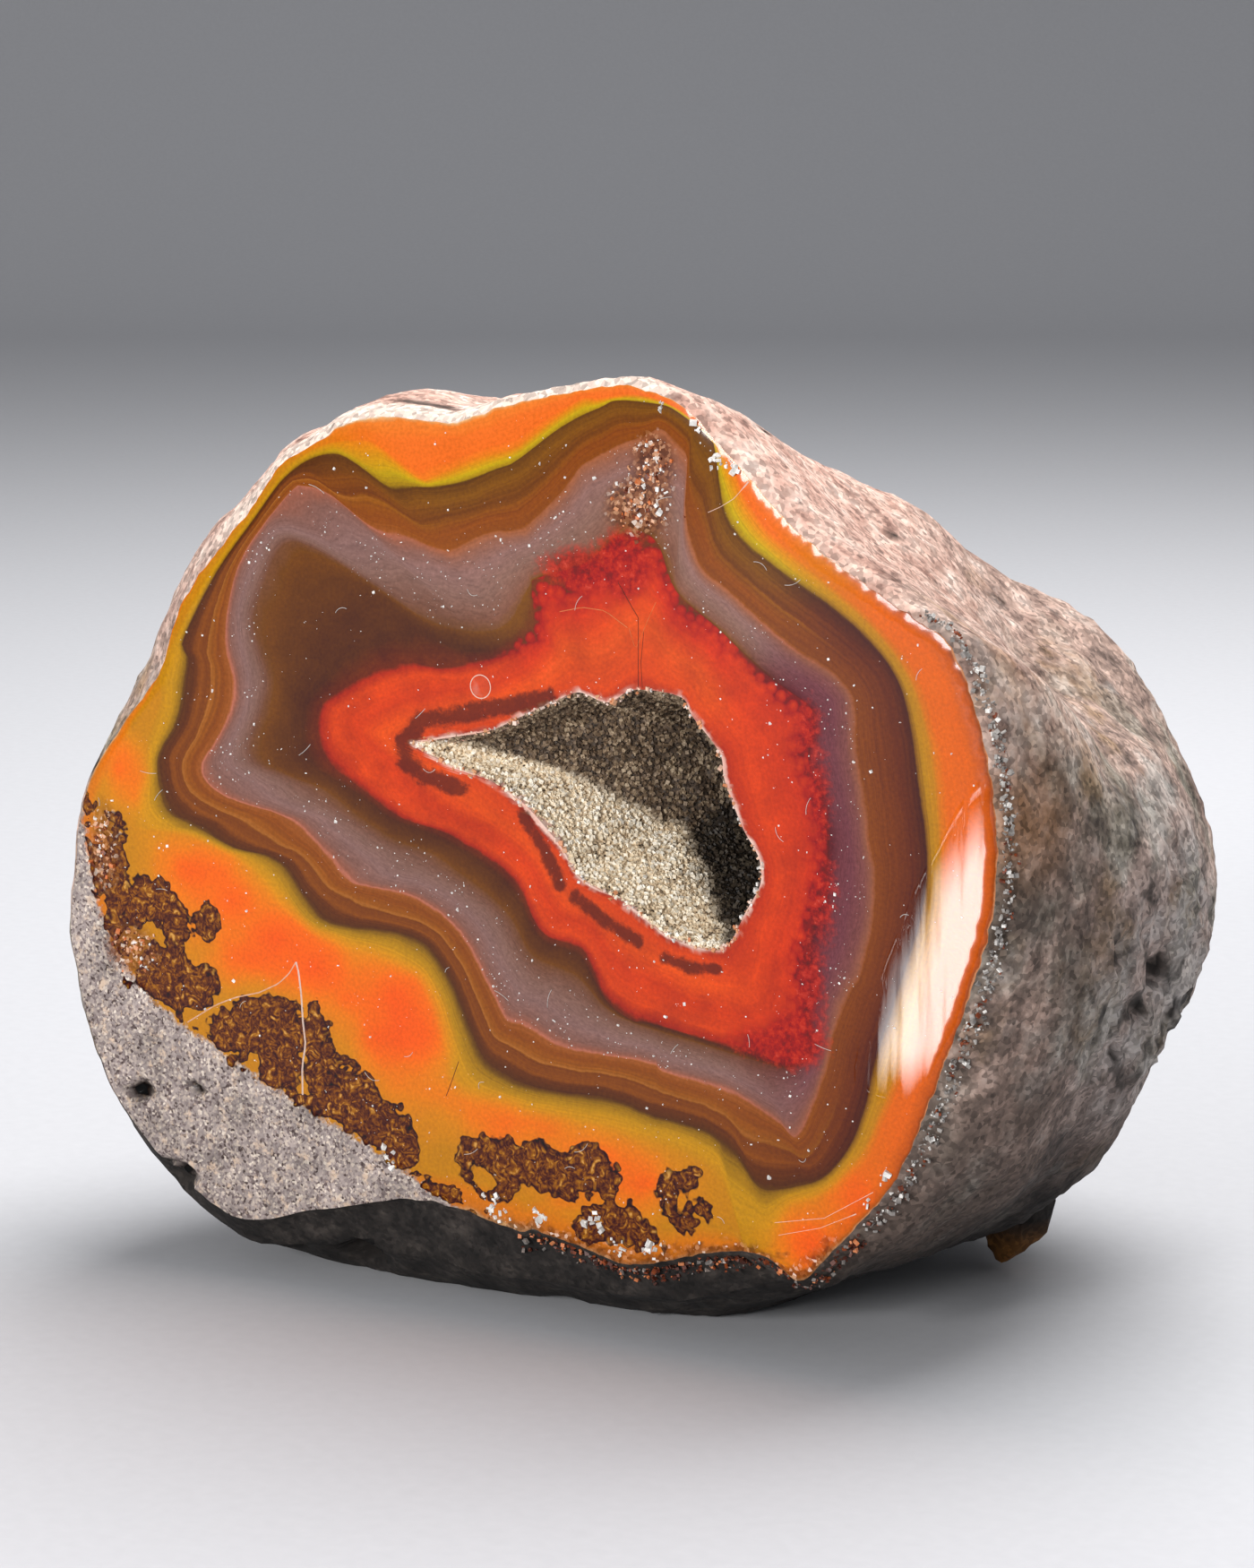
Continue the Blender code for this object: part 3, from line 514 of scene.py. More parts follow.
def mossLayer(add, place, moss, grain, scallop):
    # Brown moss: clusters of tiny grapes with dark outlines and amber hearts; its edge and its colour
    sway = add("TexNoise", {"Vector": place, "Scale": 900.0, "Detail": 2.0}, give="Color")
    swayed = add("VectorMath", (sway, (0.0006, 0.0006, 0.0006), place), operation="MULTIPLY_ADD")
    cells = {"Vector": swayed, "Scale": 1150.0}
    grapes = add("TexVoronoi", cells, give="Distance", feature="DISTANCE_TO_EDGE")
    hearts = add("TexVoronoi", cells, give="Distance")
    inner = add("Math", (moss, add("Math", (hearts, -0.5), operation="MULTIPLY")))
    edge = add("Math", (scallop, 2.4, inner), operation="MULTIPLY_ADD")
    curls = add("TexNoise", {"Vector": place, "Scale": 1350.0, "Detail": 2.0, "Distortion": 1.2}, give="Fac")
    curlTone = add("Math", (add("Math", (curls, -0.5)),), operation="ABSOLUTE")
    curlTone = add("Math", (curlTone, 2.4, -0.02), operation="MULTIPLY_ADD")
    tone = add("Math", (grapes, 0.45, curlTone), operation="MULTIPLY_ADD")
    tone = add("Math", (grain, 0.6, tone), operation="MULTIPLY_ADD")
    colour = add("ValToRGB", (tone,), stops=[
        (0.12, "#1E0F06"), (0.28, "#3C1E0A"), (0.44, "#5A300E"), (0.58, "#7A4614"), (0.74, "#98601C"),
        (0.92, "#C8924A")])
    return edge, layered(add, colour, [(None, add("MapRange", (edge, 1.02, 1.34, 0.18, 1.0)))])


def hostRockLayer(add, place, paintedPitShade, clouds, clumps):
    # Grey host rock, also sawn but matt: interlocked grains with cream clumps and dark pores, and painted
    # shade in its pits
    grains = add("TexVoronoi", {"Vector": place, "Scale": 5600.0}, give="Color")
    colour = add("ValToRGB", (add("SeparateColor", (grains,)),), stops=[
        (0.0, "#544846"), (0.14, "#807270"), (0.4, "#9C908C"), (0.7, "#AEA09A"), (0.92, "#C8B8AA"),
        (1.0, "#E2D4C6")])
    return layered(add, colour, [
        (None, add("MapRange", (clouds, 0.3, 0.7, 0.62, 1.2))),
        (add("MapRange", (clumps, 0.56, 0.67, 0.0, 0.8)), "#D8BEA6"),
        # painted shade in the pits
        (add("MapRange", (clumps, 0.36, 0.28, 0.0, 0.8)), "#2C2220"), (paintedPitShade, "#1C1816")])


def polishedAgateMaterial():
    # Chalcedony and quartz, sawn and polished: deep banded colour under a glassy skin that mirrors the lights
    material, add = newMaterial("polished agate")
    place = add("TexCoord", give="Object")
    names = ["band", "rock", "moss", "sparkle", "shadow", "rightShare", "topShare", "gleam", "lip", "crimson",
             "paintedPitShade", "ember"]
    given = {name: add("Attribute", give="Fac", attribute_name=name) for name in names}
    noises = {}
    for name, (scale, detail, roughness) in agate["noises"].items():
        look = {"Vector": place, "Scale": scale, "Detail": detail, "Roughness": roughness}
        noises[name] = add("TexNoise", look, give="Fac")
    quick, grain = noises["quick"], noises["grain"]
    wander = agate["bandWander"]
    slowShift = add("Math", (noises["slow"], wander * 2, -wander), operation="MULTIPLY_ADD")
    shifted = add("Math", (given["band"], slowShift))
    band = add("Math", (shifted, add("Math", (quick, 0.07, -0.035), operation="MULTIPLY_ADD")))

    # the edge of the red agate breaks into dots at the right and above
    fringeWhere = add("ValToRGB", (add("Math", (band, 6.0), operation="DIVIDE"),),
                      stops=[(at / 6, share) for at, share in agate["fringe"]])
    sideOrTop = add("Math", (given["rightShare"], given["topShare"]), operation="MAXIMUM")
    fringeWhere = add("Math", (fringeWhere, sideOrTop), operation="MULTIPLY")
    dots = add("TexVoronoi", {"Vector": place, "Scale": 1500.0}, give="Distance")
    dots = add("Math", (dots, 0.5, -0.24), operation="MULTIPLY_ADD")
    band = add("Math", (band, add("Math", (dots, fringeWhere), operation="MULTIPLY")))
    bandPlace = add("Math", (band, 6.0), operation="DIVIDE")
    shares = {name: add("ValToRGB", (bandPlace,), stops=[(at / 6, share) for at, share in stops])
              for name, stops in agate["shares"].items()}

    # the finest layers follow the bands: noise squeezed across them
    across = add("Math", (shifted, 24.0), operation="MULTIPLY")
    stretched = add("VectorMath", (place, (55.0, 55.0, 55.0)), operation="MULTIPLY")
    look = {"Vector": stretched, "W": across, "Scale": 1.0, "Detail": 3.5, "Roughness": 0.65}
    layers = add("TexNoise", look, give="Fac", noise_dimensions="4D")
    contrast = agate["laminaContrast"]
    layerTone = add("MapRange", (layers, 0.32, 0.68, 1 - contrast, 1 + contrast))

    # orange and yellow run into each other in soft flames near the outside
    embers = add("Math", (given["ember"], -2.1))
    flamePlace = add("Math", (noises["flames"], 3.6, embers), operation="MULTIPLY_ADD")
    flameColour = add("ValToRGB", (add("MapRange", (flamePlace, -1.3, 2.4)),), stops=[
        (0.0, "#AE7C10"), (0.25, "#C07E16"), (0.5, "#D87418"), (0.7, "#E4621C"), (1.0, "#E4521E")])
    flameShare = shares["flames"]
    for side in ("topShare", "rightShare"):
        away = add("MapRange", (given[side], 0.0, 1.0, 1.0, 0.12))
        flameShare = add("Math", (flameShare, away), operation="MULTIPLY")

    # crystals of the quartz band stand across it, so they show as short fibres that point to the hollow
    centred = add("VectorMath", (place, tuple(-heart * mm)))
    direction = add("VectorMath", (centred,), operation="NORMALIZE")
    along = add("Math", (band, 1.1), operation="MULTIPLY")
    look = {"Vector": direction, "W": along, "Scale": 30.0, "Detail": 5.0, "Roughness": 0.7}
    fibres = add("TexNoise", look, give="Fac", noise_dimensions="4D")
    contrast = agate["fibreContrast"]
    fibreTone = add("MapRange", (fibres, 0.3, 0.7, 1 - contrast, 1 + contrast))

    # dark clear streaks where the hollow lies close behind the face
    streaks = add("Math", (quick, 1.8, given["shadow"]), operation="MULTIPLY_ADD")
    streakShare = add("MapRange", (streaks, 1.12, 1.8, 0.0, 0.8), interpolation_type="SMOOTHSTEP")

    # crimson sugar in the red, with dark red dots
    crimsonColour = add("ValToRGB", (noises["crimson"],), stops=[
        (0.34, "#6E1410"), (0.46, "#921E18"), (0.56, "#AC281E"), (0.68, "#C0382A"), (0.80, "#D2685A")])
    crimsonPlace = add("Math", (noises["crimson"], 1.6, given["crimson"]), operation="MULTIPLY_ADD")

    rockEdge = add("Math", (quick, 2.2, given["rock"]), operation="MULTIPLY_ADD")
    inRock = add("MapRange", (rockEdge, 0.95, 1.35))
    mossEdge, mossColour = mossLayer(add, place, given["moss"], grain, noises["scallop"])
    notRock = add("Math", (given["rock"], 1.6), operation="LESS_THAN")
    mossShare = add("Math", (add("MapRange", (mossEdge, 0.96, 1.04)), notRock), operation="MULTIPLY")

    # druse: sugary clear crystals; and the chipped white lip of the hollow
    sugar = add("TexVoronoi", {"Vector": place, "Scale": 4200.0}, give="Color")
    sugarColour = add("ValToRGB", (add("SeparateColor", (sugar,)),), stops=[
        (0.0, "#2E160C"), (0.4, "#64361E"), (0.75, "#8E5A3A"), (0.92, "#BA8A66"), (1.0, "#F2E6DA")])
    chipped = add("MapRange", (noises["scallop"], 0.42, 0.58, 0.1, 1.0))

    colour = layered(add, bandColour(add, band, bandColours["left"]), [
        (given["rightShare"], bandColour(add, band, bandColours["right"])),
        (given["topShare"], bandColour(add, band, bandColours["top"])),
        (shares["layers"], layerTone),
        (flameShare, flameColour),
        (shares["red"], add("MapRange", (noises["clouds"], 0.3, 0.7, 0.78, 1.2))),
        (shares["quartz"], fibreTone),
        (None, add("MapRange", (grain, 0.25, 0.75, 0.86, 1.14))),
        (streakShare, "#42220C"),
        (add("MapRange", (crimsonPlace, 0.62, 1.5, 0.0, 0.85)), crimsonColour),
        (inRock, hostRockLayer(add, place, given["paintedPitShade"], noises["clouds"], noises["clumps"])),
        (mossShare, mossColour),
        (add("MapRange", (given["sparkle"], -0.2, 0.6, 0.0, 0.7)), sugarColour),
        (add("Math", (given["lip"], chipped), operation="MULTIPLY"), "#E8CDBE"),
    ])
    colour = add("VectorMath", {0: colour, 3: agate["darken"]}, operation="SCALE")
    colour = add("VectorMath", (colour, agate["veil"]), operation="SUBTRACT")
    colour = add("VectorMath", (colour, agate["darkest"]), operation="MAXIMUM")

    # the polish is slightly rounded toward the right edge, with streaks left by the lap
    stretch = add("Mapping", {
        "Vector": place, "Rotation": (0.0, -0.42, 0.0), "Scale": (1500.0, 1500.0, 110.0)})
    lap = add("TexNoise", {"Vector": stretch, "Scale": 1.0, "Detail": 3.0}, give="Fac")
    streaked = add("Math", (given["gleam"], add("MapRange", (lap, 0.34, 0.56, -0.38, 0.0))))
    tilt = add("MapRange", (streaked, 0.0, 0.05))
    gleamShare = add("ValToRGB", (streaked,), stops=[(0.0, 1.0), (0.05, 0.0), (0.85, 1.0)])
    polish = add("MapRange", (inRock, 0.0, 1.0, 1.0, 0.12))
    lean = add("VectorMath", {0: agate["gleamTilt"], 3: tilt}, operation="SCALE")
    tilted = add("VectorMath", (lean, add("NewGeometry", give="Normal")))
    surface = add("BsdfPrincipled", {
        "Base Color": colour, "Roughness": add("MapRange", (inRock, 0.0, 1.0, 0.35, 0.62)),
        "Specular IOR Level": 0.05, "IOR": 1.54, "Coat Roughness": 0.10,
        "Coat IOR": 1.30,    # lower than real quartz, because the pale floor would veil the colours
        "Coat Weight": add("Math", (polish, gleamShare), operation="MULTIPLY"),
        "Coat Normal": add("VectorMath", (tilted,), operation="NORMALIZE"),
        "Normal": add("Bump", {"Height": grain, "Strength": 0.12, "Distance": 0.0001}, give="Normal")})
    add("OutputMaterial", {"Surface": surface}, give=None)
    return material


# The rough rock: noise rows as above, and ramps over the medium noise
rock = {
    "noises": {"patches": (90.0, 4.0, 0.5), "medium": (430.0, 4.0, 0.62), "cavities": (420.0, 3.0, 0.5),
               "bumps": (700.0, 2.0, 0.5)},
    "ramps": {
        "body": [(0.30, "#4E3E34"), (0.41, "#8A746A"), (0.54, "#B09486"), (0.66, "#CCB0A2"),
                 (0.78, "#E0CCC0")],
        "greenish": [(0.30, "#3A342E"), (0.44, "#7C7466"), (0.58, "#A0978A"), (0.75, "#C4BEB2")],
        # the pink ramp is painted light for the higher parts, the dark ramp painted shade for the lower parts
        "paintedLitPink": [(0.30, "#8A665A"), (0.42, "#C49A8A"), (0.56, "#DCB8A8"), (0.75, "#F0DCD0")],
        "paintedShadeDark": [(0.28, "#12100F"), (0.5, "#24201E"), (0.7, "#3C3632"), (0.85, "#605650")],
    },
    # stains: channel of the noise, where it begins and ends, how strong it is, and its colour
    "stains": [(0, 0.54, 0.66, 0.6, "#C4BEB6"), (1, 0.55, 0.66, 0.55, "#8A6A3A"),
               (2, 0.56, 0.68, 0.6, "#3E342E")],
}


def roughRockMaterial():
    # Weathered volcanic rock: a dry granular crust, with painted light that makes it pinkish and pale higher
    # up, and painted shade that makes it darker and browner below
    material, add = newMaterial("weathered rhyolite")
    place = add("TexCoord", give="Object")
    names = ["height", "ochre", "ash", "flank", "rindAndPaintedLight", "paintedPitShade"]
    given = {name: add("Attribute", give="Fac", attribute_name=name) for name in names}
    noises = {}
    for name, (scale, detail, roughness) in rock["noises"].items():
        look = {"Vector": place, "Scale": scale, "Detail": detail, "Roughness": roughness}
        noises[name] = add("TexNoise", look, give="Fac")
    patches, medium = noises["patches"], noises["medium"]
    ramps = {name: add("ValToRGB", (medium,), stops=stops) for name, stops in rock["ramps"].items()}
    stains = add("TexNoise", {"Vector": place, "Scale": 150.0, "Detail": 5.0, "Roughness": 0.6}, give="Color")
    channels = add("SeparateColor", (stains,), give=None).outputs
    # by height: painted light higher up, painted shade lower down
    paintedLightPlace = add("Math", (patches, 0.5, given["height"]), operation="MULTIPLY_ADD")
    paintedShadePlace = add("Math", (patches, 0.3, given["height"]), operation="MULTIPLY_ADD")
    ashTone = add("MapRange", (medium, 0.4, 0.6, 0.2, 0.75))
    flankTone = add("MapRange", (medium, 0.4, 0.62, 0.85, 0.35))
    fine = add("SeparateColor", (add("TexVoronoi", {"Vector": place, "Scale": 2900.0}, give="Color"),))
    speck = add("MapRange", (fine, 0.0, 1.0, 0.58, 1.42))
    pores = add("TexVoronoi", {"Vector": place, "Scale": 700.0}, give="Distance")
    pores = add("Math", (patches, -0.5, pores), operation="MULTIPLY_ADD")
    poreTone = add("MapRange", (pores, -0.20, -0.06, 0.5, 1.0))
    # cavities too small for the mesh, painted dark as their shade
    cavityShadeTone = add("MapRange", (noises["cavities"], 0.46, 0.36, 0.0, 0.75))
    smooth = {"interpolation_type": "SMOOTHSTEP"}
    colour = layered(add, ramps["body"], [
        (add("MapRange", (patches, 0.5, 0.62), **smooth), ramps["greenish"]),
        *[(add("MapRange", (channels[channel], low, high, 0.0, strength)), stain)
          for channel, low, high, strength, stain in rock["stains"]],
        (add("MapRange", (paintedLightPlace, 0.86, 1.16), **smooth), ramps["paintedLitPink"]),
        (add("MapRange", (paintedShadePlace, 0.58, 0.22), **smooth), ramps["paintedShadeDark"]),
        (add("Math", (given["ash"], ashTone), operation="MULTIPLY"), "#9C9693"),
        # painted shade on the lower right flank
        (add("Math", (given["flank"], flankTone), operation="MULTIPLY"), "#5E5048"),
        (given["ochre"], "#8A5A24"),
        # a pale rind along the top of the cut, partly real and partly painted light
        (add("MapRange", (add("Math", (given["rindAndPaintedLight"], medium)), 0.8, 1.25, 0.0, 0.6)), "#E6D8CA"),
        (None, speck),
        (None, poreTone),
        (add("Math", (given["ash"], cavityShadeTone), operation="MULTIPLY"), "#2A2623"),
        # painted shade in the pits and the crack
        (given["paintedPitShade"], "#1C1714"),
    ])
    relief = add("Math", (poreTone, 0.35), operation="MULTIPLY")
    relief = add("Math", (speck, 0.10, relief), operation="MULTIPLY_ADD")
    relief = add("Math", (noises["bumps"], 0.9, relief), operation="MULTIPLY_ADD")
    surface = add("BsdfPrincipled", {
        "Base Color": colour, "Roughness": 0.86, "Specular IOR Level": 0.28, "IOR": 1.5,
        "Normal": add("Bump", {"Height": relief, "Strength": 0.6, "Distance": 0.0004}, give="Normal")})
    add("OutputMaterial", {"Surface": surface}, give=None)
    return material


def crystalMaterial():
    # Druse of tiny quartz crystals, dusted with clay; painted light makes them cream on the lit wall, painted
    # shade dark olive deeper in
    material, add = newMaterial("drusy quartz")
    place = add("TexCoord", give="Object")
    names = ("tint", "paintedLitWall", "paintedCaveShade")
    tint, paintedLitWall, paintedCaveShade = [add("Attribute", give="Fac", attribute_name=name) for name in names]
    grain = add("TexNoise", {"Vector": place, "Scale": 5200.0, "Detail": 2.0}, give="Fac")
    blotches = add("TexNoise", {"Vector": place, "Scale": 500.0, "Detail": 3.0}, give="Fac")
    tone = add("Math", (blotches, 0.6, -0.56), operation="MULTIPLY_ADD")
    for part, strength in ((tint, 0.75), (grain, 0.8)):
        tone = add("Math", (part, strength, tone), operation="MULTIPLY_ADD")
    # the same crystals as a painted-shade colour and a painted-light colour
    shaded = add("ValToRGB", (tone,), stops=[
        (0.1, "#241B13"), (0.36, "#44362A"), (0.6, "#66523F"), (0.8, "#8A745C"), (1.0, "#B8A488")])
    lit = add("ValToRGB", (tone,), stops=[
        (0.12, "#3A2E24"), (0.27, "#9C8468"), (0.42, "#D8C09E"), (0.7, "#ECDCC0"), (1.0, "#FFF8EA")])
    # painted light on the lit wall, painted shade deeper in
    colour = layered(add, shaded, [(paintedLitWall, lit), (None, add("MapRange", (paintedCaveShade, 0.0, 1.0, 1.0, 0.16)))])
    surface = add("BsdfPrincipled", {
        "Base Color": colour, "Roughness": 0.6, "Specular IOR Level": 0.3, "IOR": 1.54})
    add("OutputMaterial", {"Surface": surface}, give=None)
    return material


def bitMaterial():
    # Dust, lint and broken quartz edges: dull, nearly white, tinted by what they broke from
    material, add = newMaterial("quartz dust and lint")
    tint = add("Attribute", give="Fac", attribute_name="tint")
    place = add("TexCoord", give="Object")
    uneven = add("TexNoise", {"Vector": place, "Scale": 3000.0, "Detail": 2.0}, give="Fac")
    tone = add("Math", (uneven, 0.2, add("Math", (tint, -0.1))), operation="MULTIPLY_ADD")
    colour = add("ValToRGB", (tone,), stops=[
        (0.0, "#2A120A"), (0.15, "#5A2410"), (0.3, "#C8601E"), (0.45, "#D49A70"), (0.6, "#E8CDBE"),
        (0.7, "#6E6864"), (0.84, "#A8A29C"), (1.0, "#F6F2EC")])
    surface = add("BsdfPrincipled", {
        "Base Color": colour, "Roughness": 0.5, "Specular IOR Level": 0.4, "IOR": 1.54})
    add("OutputMaterial", {"Surface": surface}, give=None)
    return material


# The stone

def bandRadii(angles):
    # radii of the band edges, each at least a little outside the one before
    radii = [radiusAt(name, angles) for name in bandEdges]
    for inner in range(1, len(radii)):
        radii[inner] = np.maximum(radii[inner], radii[inner - 1] + stone["bandGap"])
    around = np.stack([np.cos(angles), np.sin(angles), 0 * angles], axis=1)
    radii[-1] = radiusAt("rim", angles) + stone["rimChips"] * fractalAt(around, 26.0, 4)
    for outer in range(len(radii) - 2, 0, -1):
        radii[outer] = np.minimum(radii[outer], radii[outer + 1] - stone["bandGap"])
    return radii


def gleamAt(flat):
    # 1 in the middle of the gleam, with a soft inner side, a crisp outer side and fading ends
    rows = np.array(gleamRows[::-1])
    inner, outer = [np.interp(flat[:, 1], rows[:, 0], rows[:, column]) for column in (1, 2)]
    x, z = flat[:, 0], flat[:, 1]
    across = smoothStep(inner - 2.2, inner + 1.9, x) * smoothStep(outer + 0.1, outer - 0.3, x)
    return across * smoothStep(4.4, -2.5, z) * smoothStep(-17.8, -13.0, z)


def sectionRing(rim, position):
    # one ring of the outside, between the rim's shape and a rounded oval; position counts the sections
    rows = np.array(bodySections)
    first = min(int(position), len(rows) - 2)
    before, beyond = rows[max(first - 1, 0)], rows[min(first + 2, len(rows) - 1)]
    values = splineAt(before, rows[first], rows[first + 1], beyond, position - first)
    depth, left, right, bottom, top, roundAbove, roundBelow, dropAbove, riseBelow = values
    low, high = rim.min(axis=0), rim.max(axis=0)
    unit = (rim - low) / (high - low) * 2 - 1
    turn = np.arctan2(unit[:, 1], unit[:, 0])
    power = 2 / stone["roundPower"]
    oval = np.stack([np.sign(part) * np.abs(part) ** power for part in (np.cos(turn), np.sin(turn))], axis=1)
    below = 0.5 - 0.5 * np.sin(turn)
    roundness = (roundAbove + (roundBelow - roundAbove) * below)[:, None]
    shape = unit * (1 - roundness) + oval * roundness
    flat = shape * np.array([right - left, top - bottom]) / 2 + np.array([right + left, top + bottom]) / 2
    flat[:, 1] += unit[:, 0] * (dropAbove * (1 - below) + riseBelow * below)
    return placed(flat, depth)


def swelling(points):
    # slow waves in all directions, the same as in the solid
    chance = np.random.default_rng(stone["swellingSeed"])
    total = np.zeros(len(points))
    for _ in range(stone["swellingWaves"]):
        direction = chance.normal(size=3)
        direction /= np.linalg.norm(direction)
        length = chance.uniform(*stone["swellingLengths"])
        phase = chance.uniform(0, 2 * math.pi)
        wave = np.sin(points @ direction * 2 * math.pi / length + phase)
        total += wave * length / stone["swellingLengths"][1]
    return total * stone["swellingHeight"] / math.sqrt(stone["swellingWaves"] / 2)


def outwardFrom(points):
    outward = points - np.array(stone["middle"])
    return outward / lengths(outward)[:, None]


def pitReaches(points):
    # for each pit its radius and how far the points lie from it; points may be moved after each pit
    ragged = stone["pitRagged"] * fractalAt(points, 0.9, 3)
    for x, depth, z, radius in pits:
        nearest = points[np.argmin(lengths(points - np.array([x, depth, z])))]
        yield radius, lengths(points - nearest) + ragged * radius


def faceRings(angles, radii):
    # rings of the polished face, which rolls over a little at its edge, and the band that each lies in
    rows = [(radii[inner] + (radii[inner + 1] - radii[inner]) * (step / steps), inner + step / steps)
            for inner, steps in enumerate(ringsBetween) for step in range(steps)]
    rings, bands = [], []
    for radius, band in rows + [(radii[-1], 6.0)]:
        t = np.clip(1 - (radii[-1] - radius) / stone["polishRound"], 0, 1)
        rolled = stone["polishTilt"] * stone["polishRound"] / 2 * t ** 2
        rings.append(placed(alongSpokes(radius, angles), rolled))
        bands.append(band)
    return rings, bands


def caveRings(angles, mouth):
    # the wall of the hollow, behind the crystals
    rings = []
    for ring in range(1, hollow["stoneRings"] + 1):
        flat = alongSpokes(mouth * (1 - ring / (hollow["stoneRings"] + 1)), angles)
        rings.append(placed(flat, np.maximum(hollowDepth(flat), 0.02 * ring)))
    return rings


def roughRings(angles, worn, pole):
    # rings of the rough outside from the worn edge to the back
    rim = alongSpokes(radiusAt("rim", angles), angles)
    outside = []
    for step in range((len(bodySections) - 1) * stone["ringsPerSpan"] + 1):
        ring = sectionRing(rim, step / stone["ringsPerSpan"])
        fade = min(1.0, ring[0, 1] / bodySections[2][0])
        ring += outwardFrom(ring) * (swelling(ring) * fade)[:, None]
        ring[:, 1] = np.maximum(ring[:, 1], worn[:, 1] + stone["wornEdge"] * 0.6)
        outside.append(ring)
    back = outside[-1]
    for share in stone["backShares"]:
        ring = pole + (back - pole) * share
        ring[:, 1] = pole[1] - (pole[1] - back[:, 1]) * share ** 1.6
        outside.append(ring)
    first = [worn + (outside[0] - worn) * share for share in (0.25, 0.5, 0.75)]
    return np.array(first + outside)


def roughen(points):
    # lumps, dents, pits and cavities of the crust, and the flat spot that the stone rests on
    outward = outwardFrom(points)
    lumps = fractalAt(points, 0.17, 3) * stone["lumpHeight"]
    lumps = lumps + fractalAt(points, 0.55, 2) * stone["knapHeight"]
    points += outward * (lumps * (0.25 + 0.75 * smoothStep(0.5, 4.0, points[:, 1])))[:, None]
    for radius, away in pitReaches(points):
        points -= outward * (np.clip(1 - (away / (radius * 1.25)) ** 2, 0, 1) * radius * 0.9)[:, None]
    eaten = smoothStep(1.15, 0.55, eggReach(points, stone["eatenMiddle"], stone["eatenHalf"]))
    points += outward * (eaten * stone["eatenHeight"] * fractalAt(points, 0.8, 3))[:, None]
    tucked = smoothStep(1.0, 0.3, eggReach(points, stone["tuckMiddle"], stone["tuckHalf"]))
    points[:, 0] -= stone["tuck"] * tucked
    points[:, 1] = np.minimum(points[:, 1], stone["depth"])
    points[:, 2] = np.maximum(points[:, 2], -stone["heartAboveFloor"])


def stoneFaces(fullRings, halfRings, count):
    # faces of the stone and their materials, 0 polished and 1 rough; the rough rings have half the points
    few = count // 2
    lastFull, firstHalf = 1 + (fullRings - 1) * count, 1 + fullRings * count
    polished = []
    for ring in range(fullRings - 2):
        polished += ringFaces(1 + ring * count, count, 1 + (ring + 1) * count)
    edge = ringFaces(lastFull - count, count, lastFull)
    middle = [(pole, there, here) for pole, here, there in fan(0, 1, count)]
    rough = []
    for spoke in range(few):
        here, between = lastFull + 2 * spoke, lastFull + 2 * spoke + 1
        there = lastFull + (2 * spoke + 2) % count
        below, belowNext = firstHalf + spoke, firstHalf + (spoke + 1) % few
        rough += [(here, between, below), (between, belowNext, below), (between, there, belowNext)]
    for ring in range(halfRings - 1):
        rough += ringFaces(firstHalf + ring * few, few, firstHalf + (ring + 1) * few)
    rough += fan(firstHalf + halfRings * few, firstHalf + (halfRings - 1) * few, few)
    return (polished + edge + middle + rough,
            [0] * len(polished) + [1] * len(edge) + [0] * len(middle) + [1] * len(rough))


def knobShell(rows=14, spokes=22, roughness=0.3):
    # the knob under the right flank: a closed uneven pebble
    tilt = np.linspace(0, math.pi, rows + 1)[1:-1]
    turn = np.arange(spokes) * 2 * math.pi / spokes
    shell = [np.stack([np.sin(a) * np.cos(turn), np.sin(a) * np.sin(turn), 0 * turn + np.cos(a)], axis=1)
             for a in tilt]
    points = np.vstack(shell + [np.array([[0.0, 0.0, 1.0], [0.0, 0.0, -1.0]])])
    middle = np.array(stone["knobMiddle"])
    points *= (1 + roughness * fractalAt(points + middle, 1.1, 3))[:, None]
    points = points * np.array(stone["knobHalf"]) + middle
    return points, turnedOutward(points, shellFaces(len(tilt), spokes))


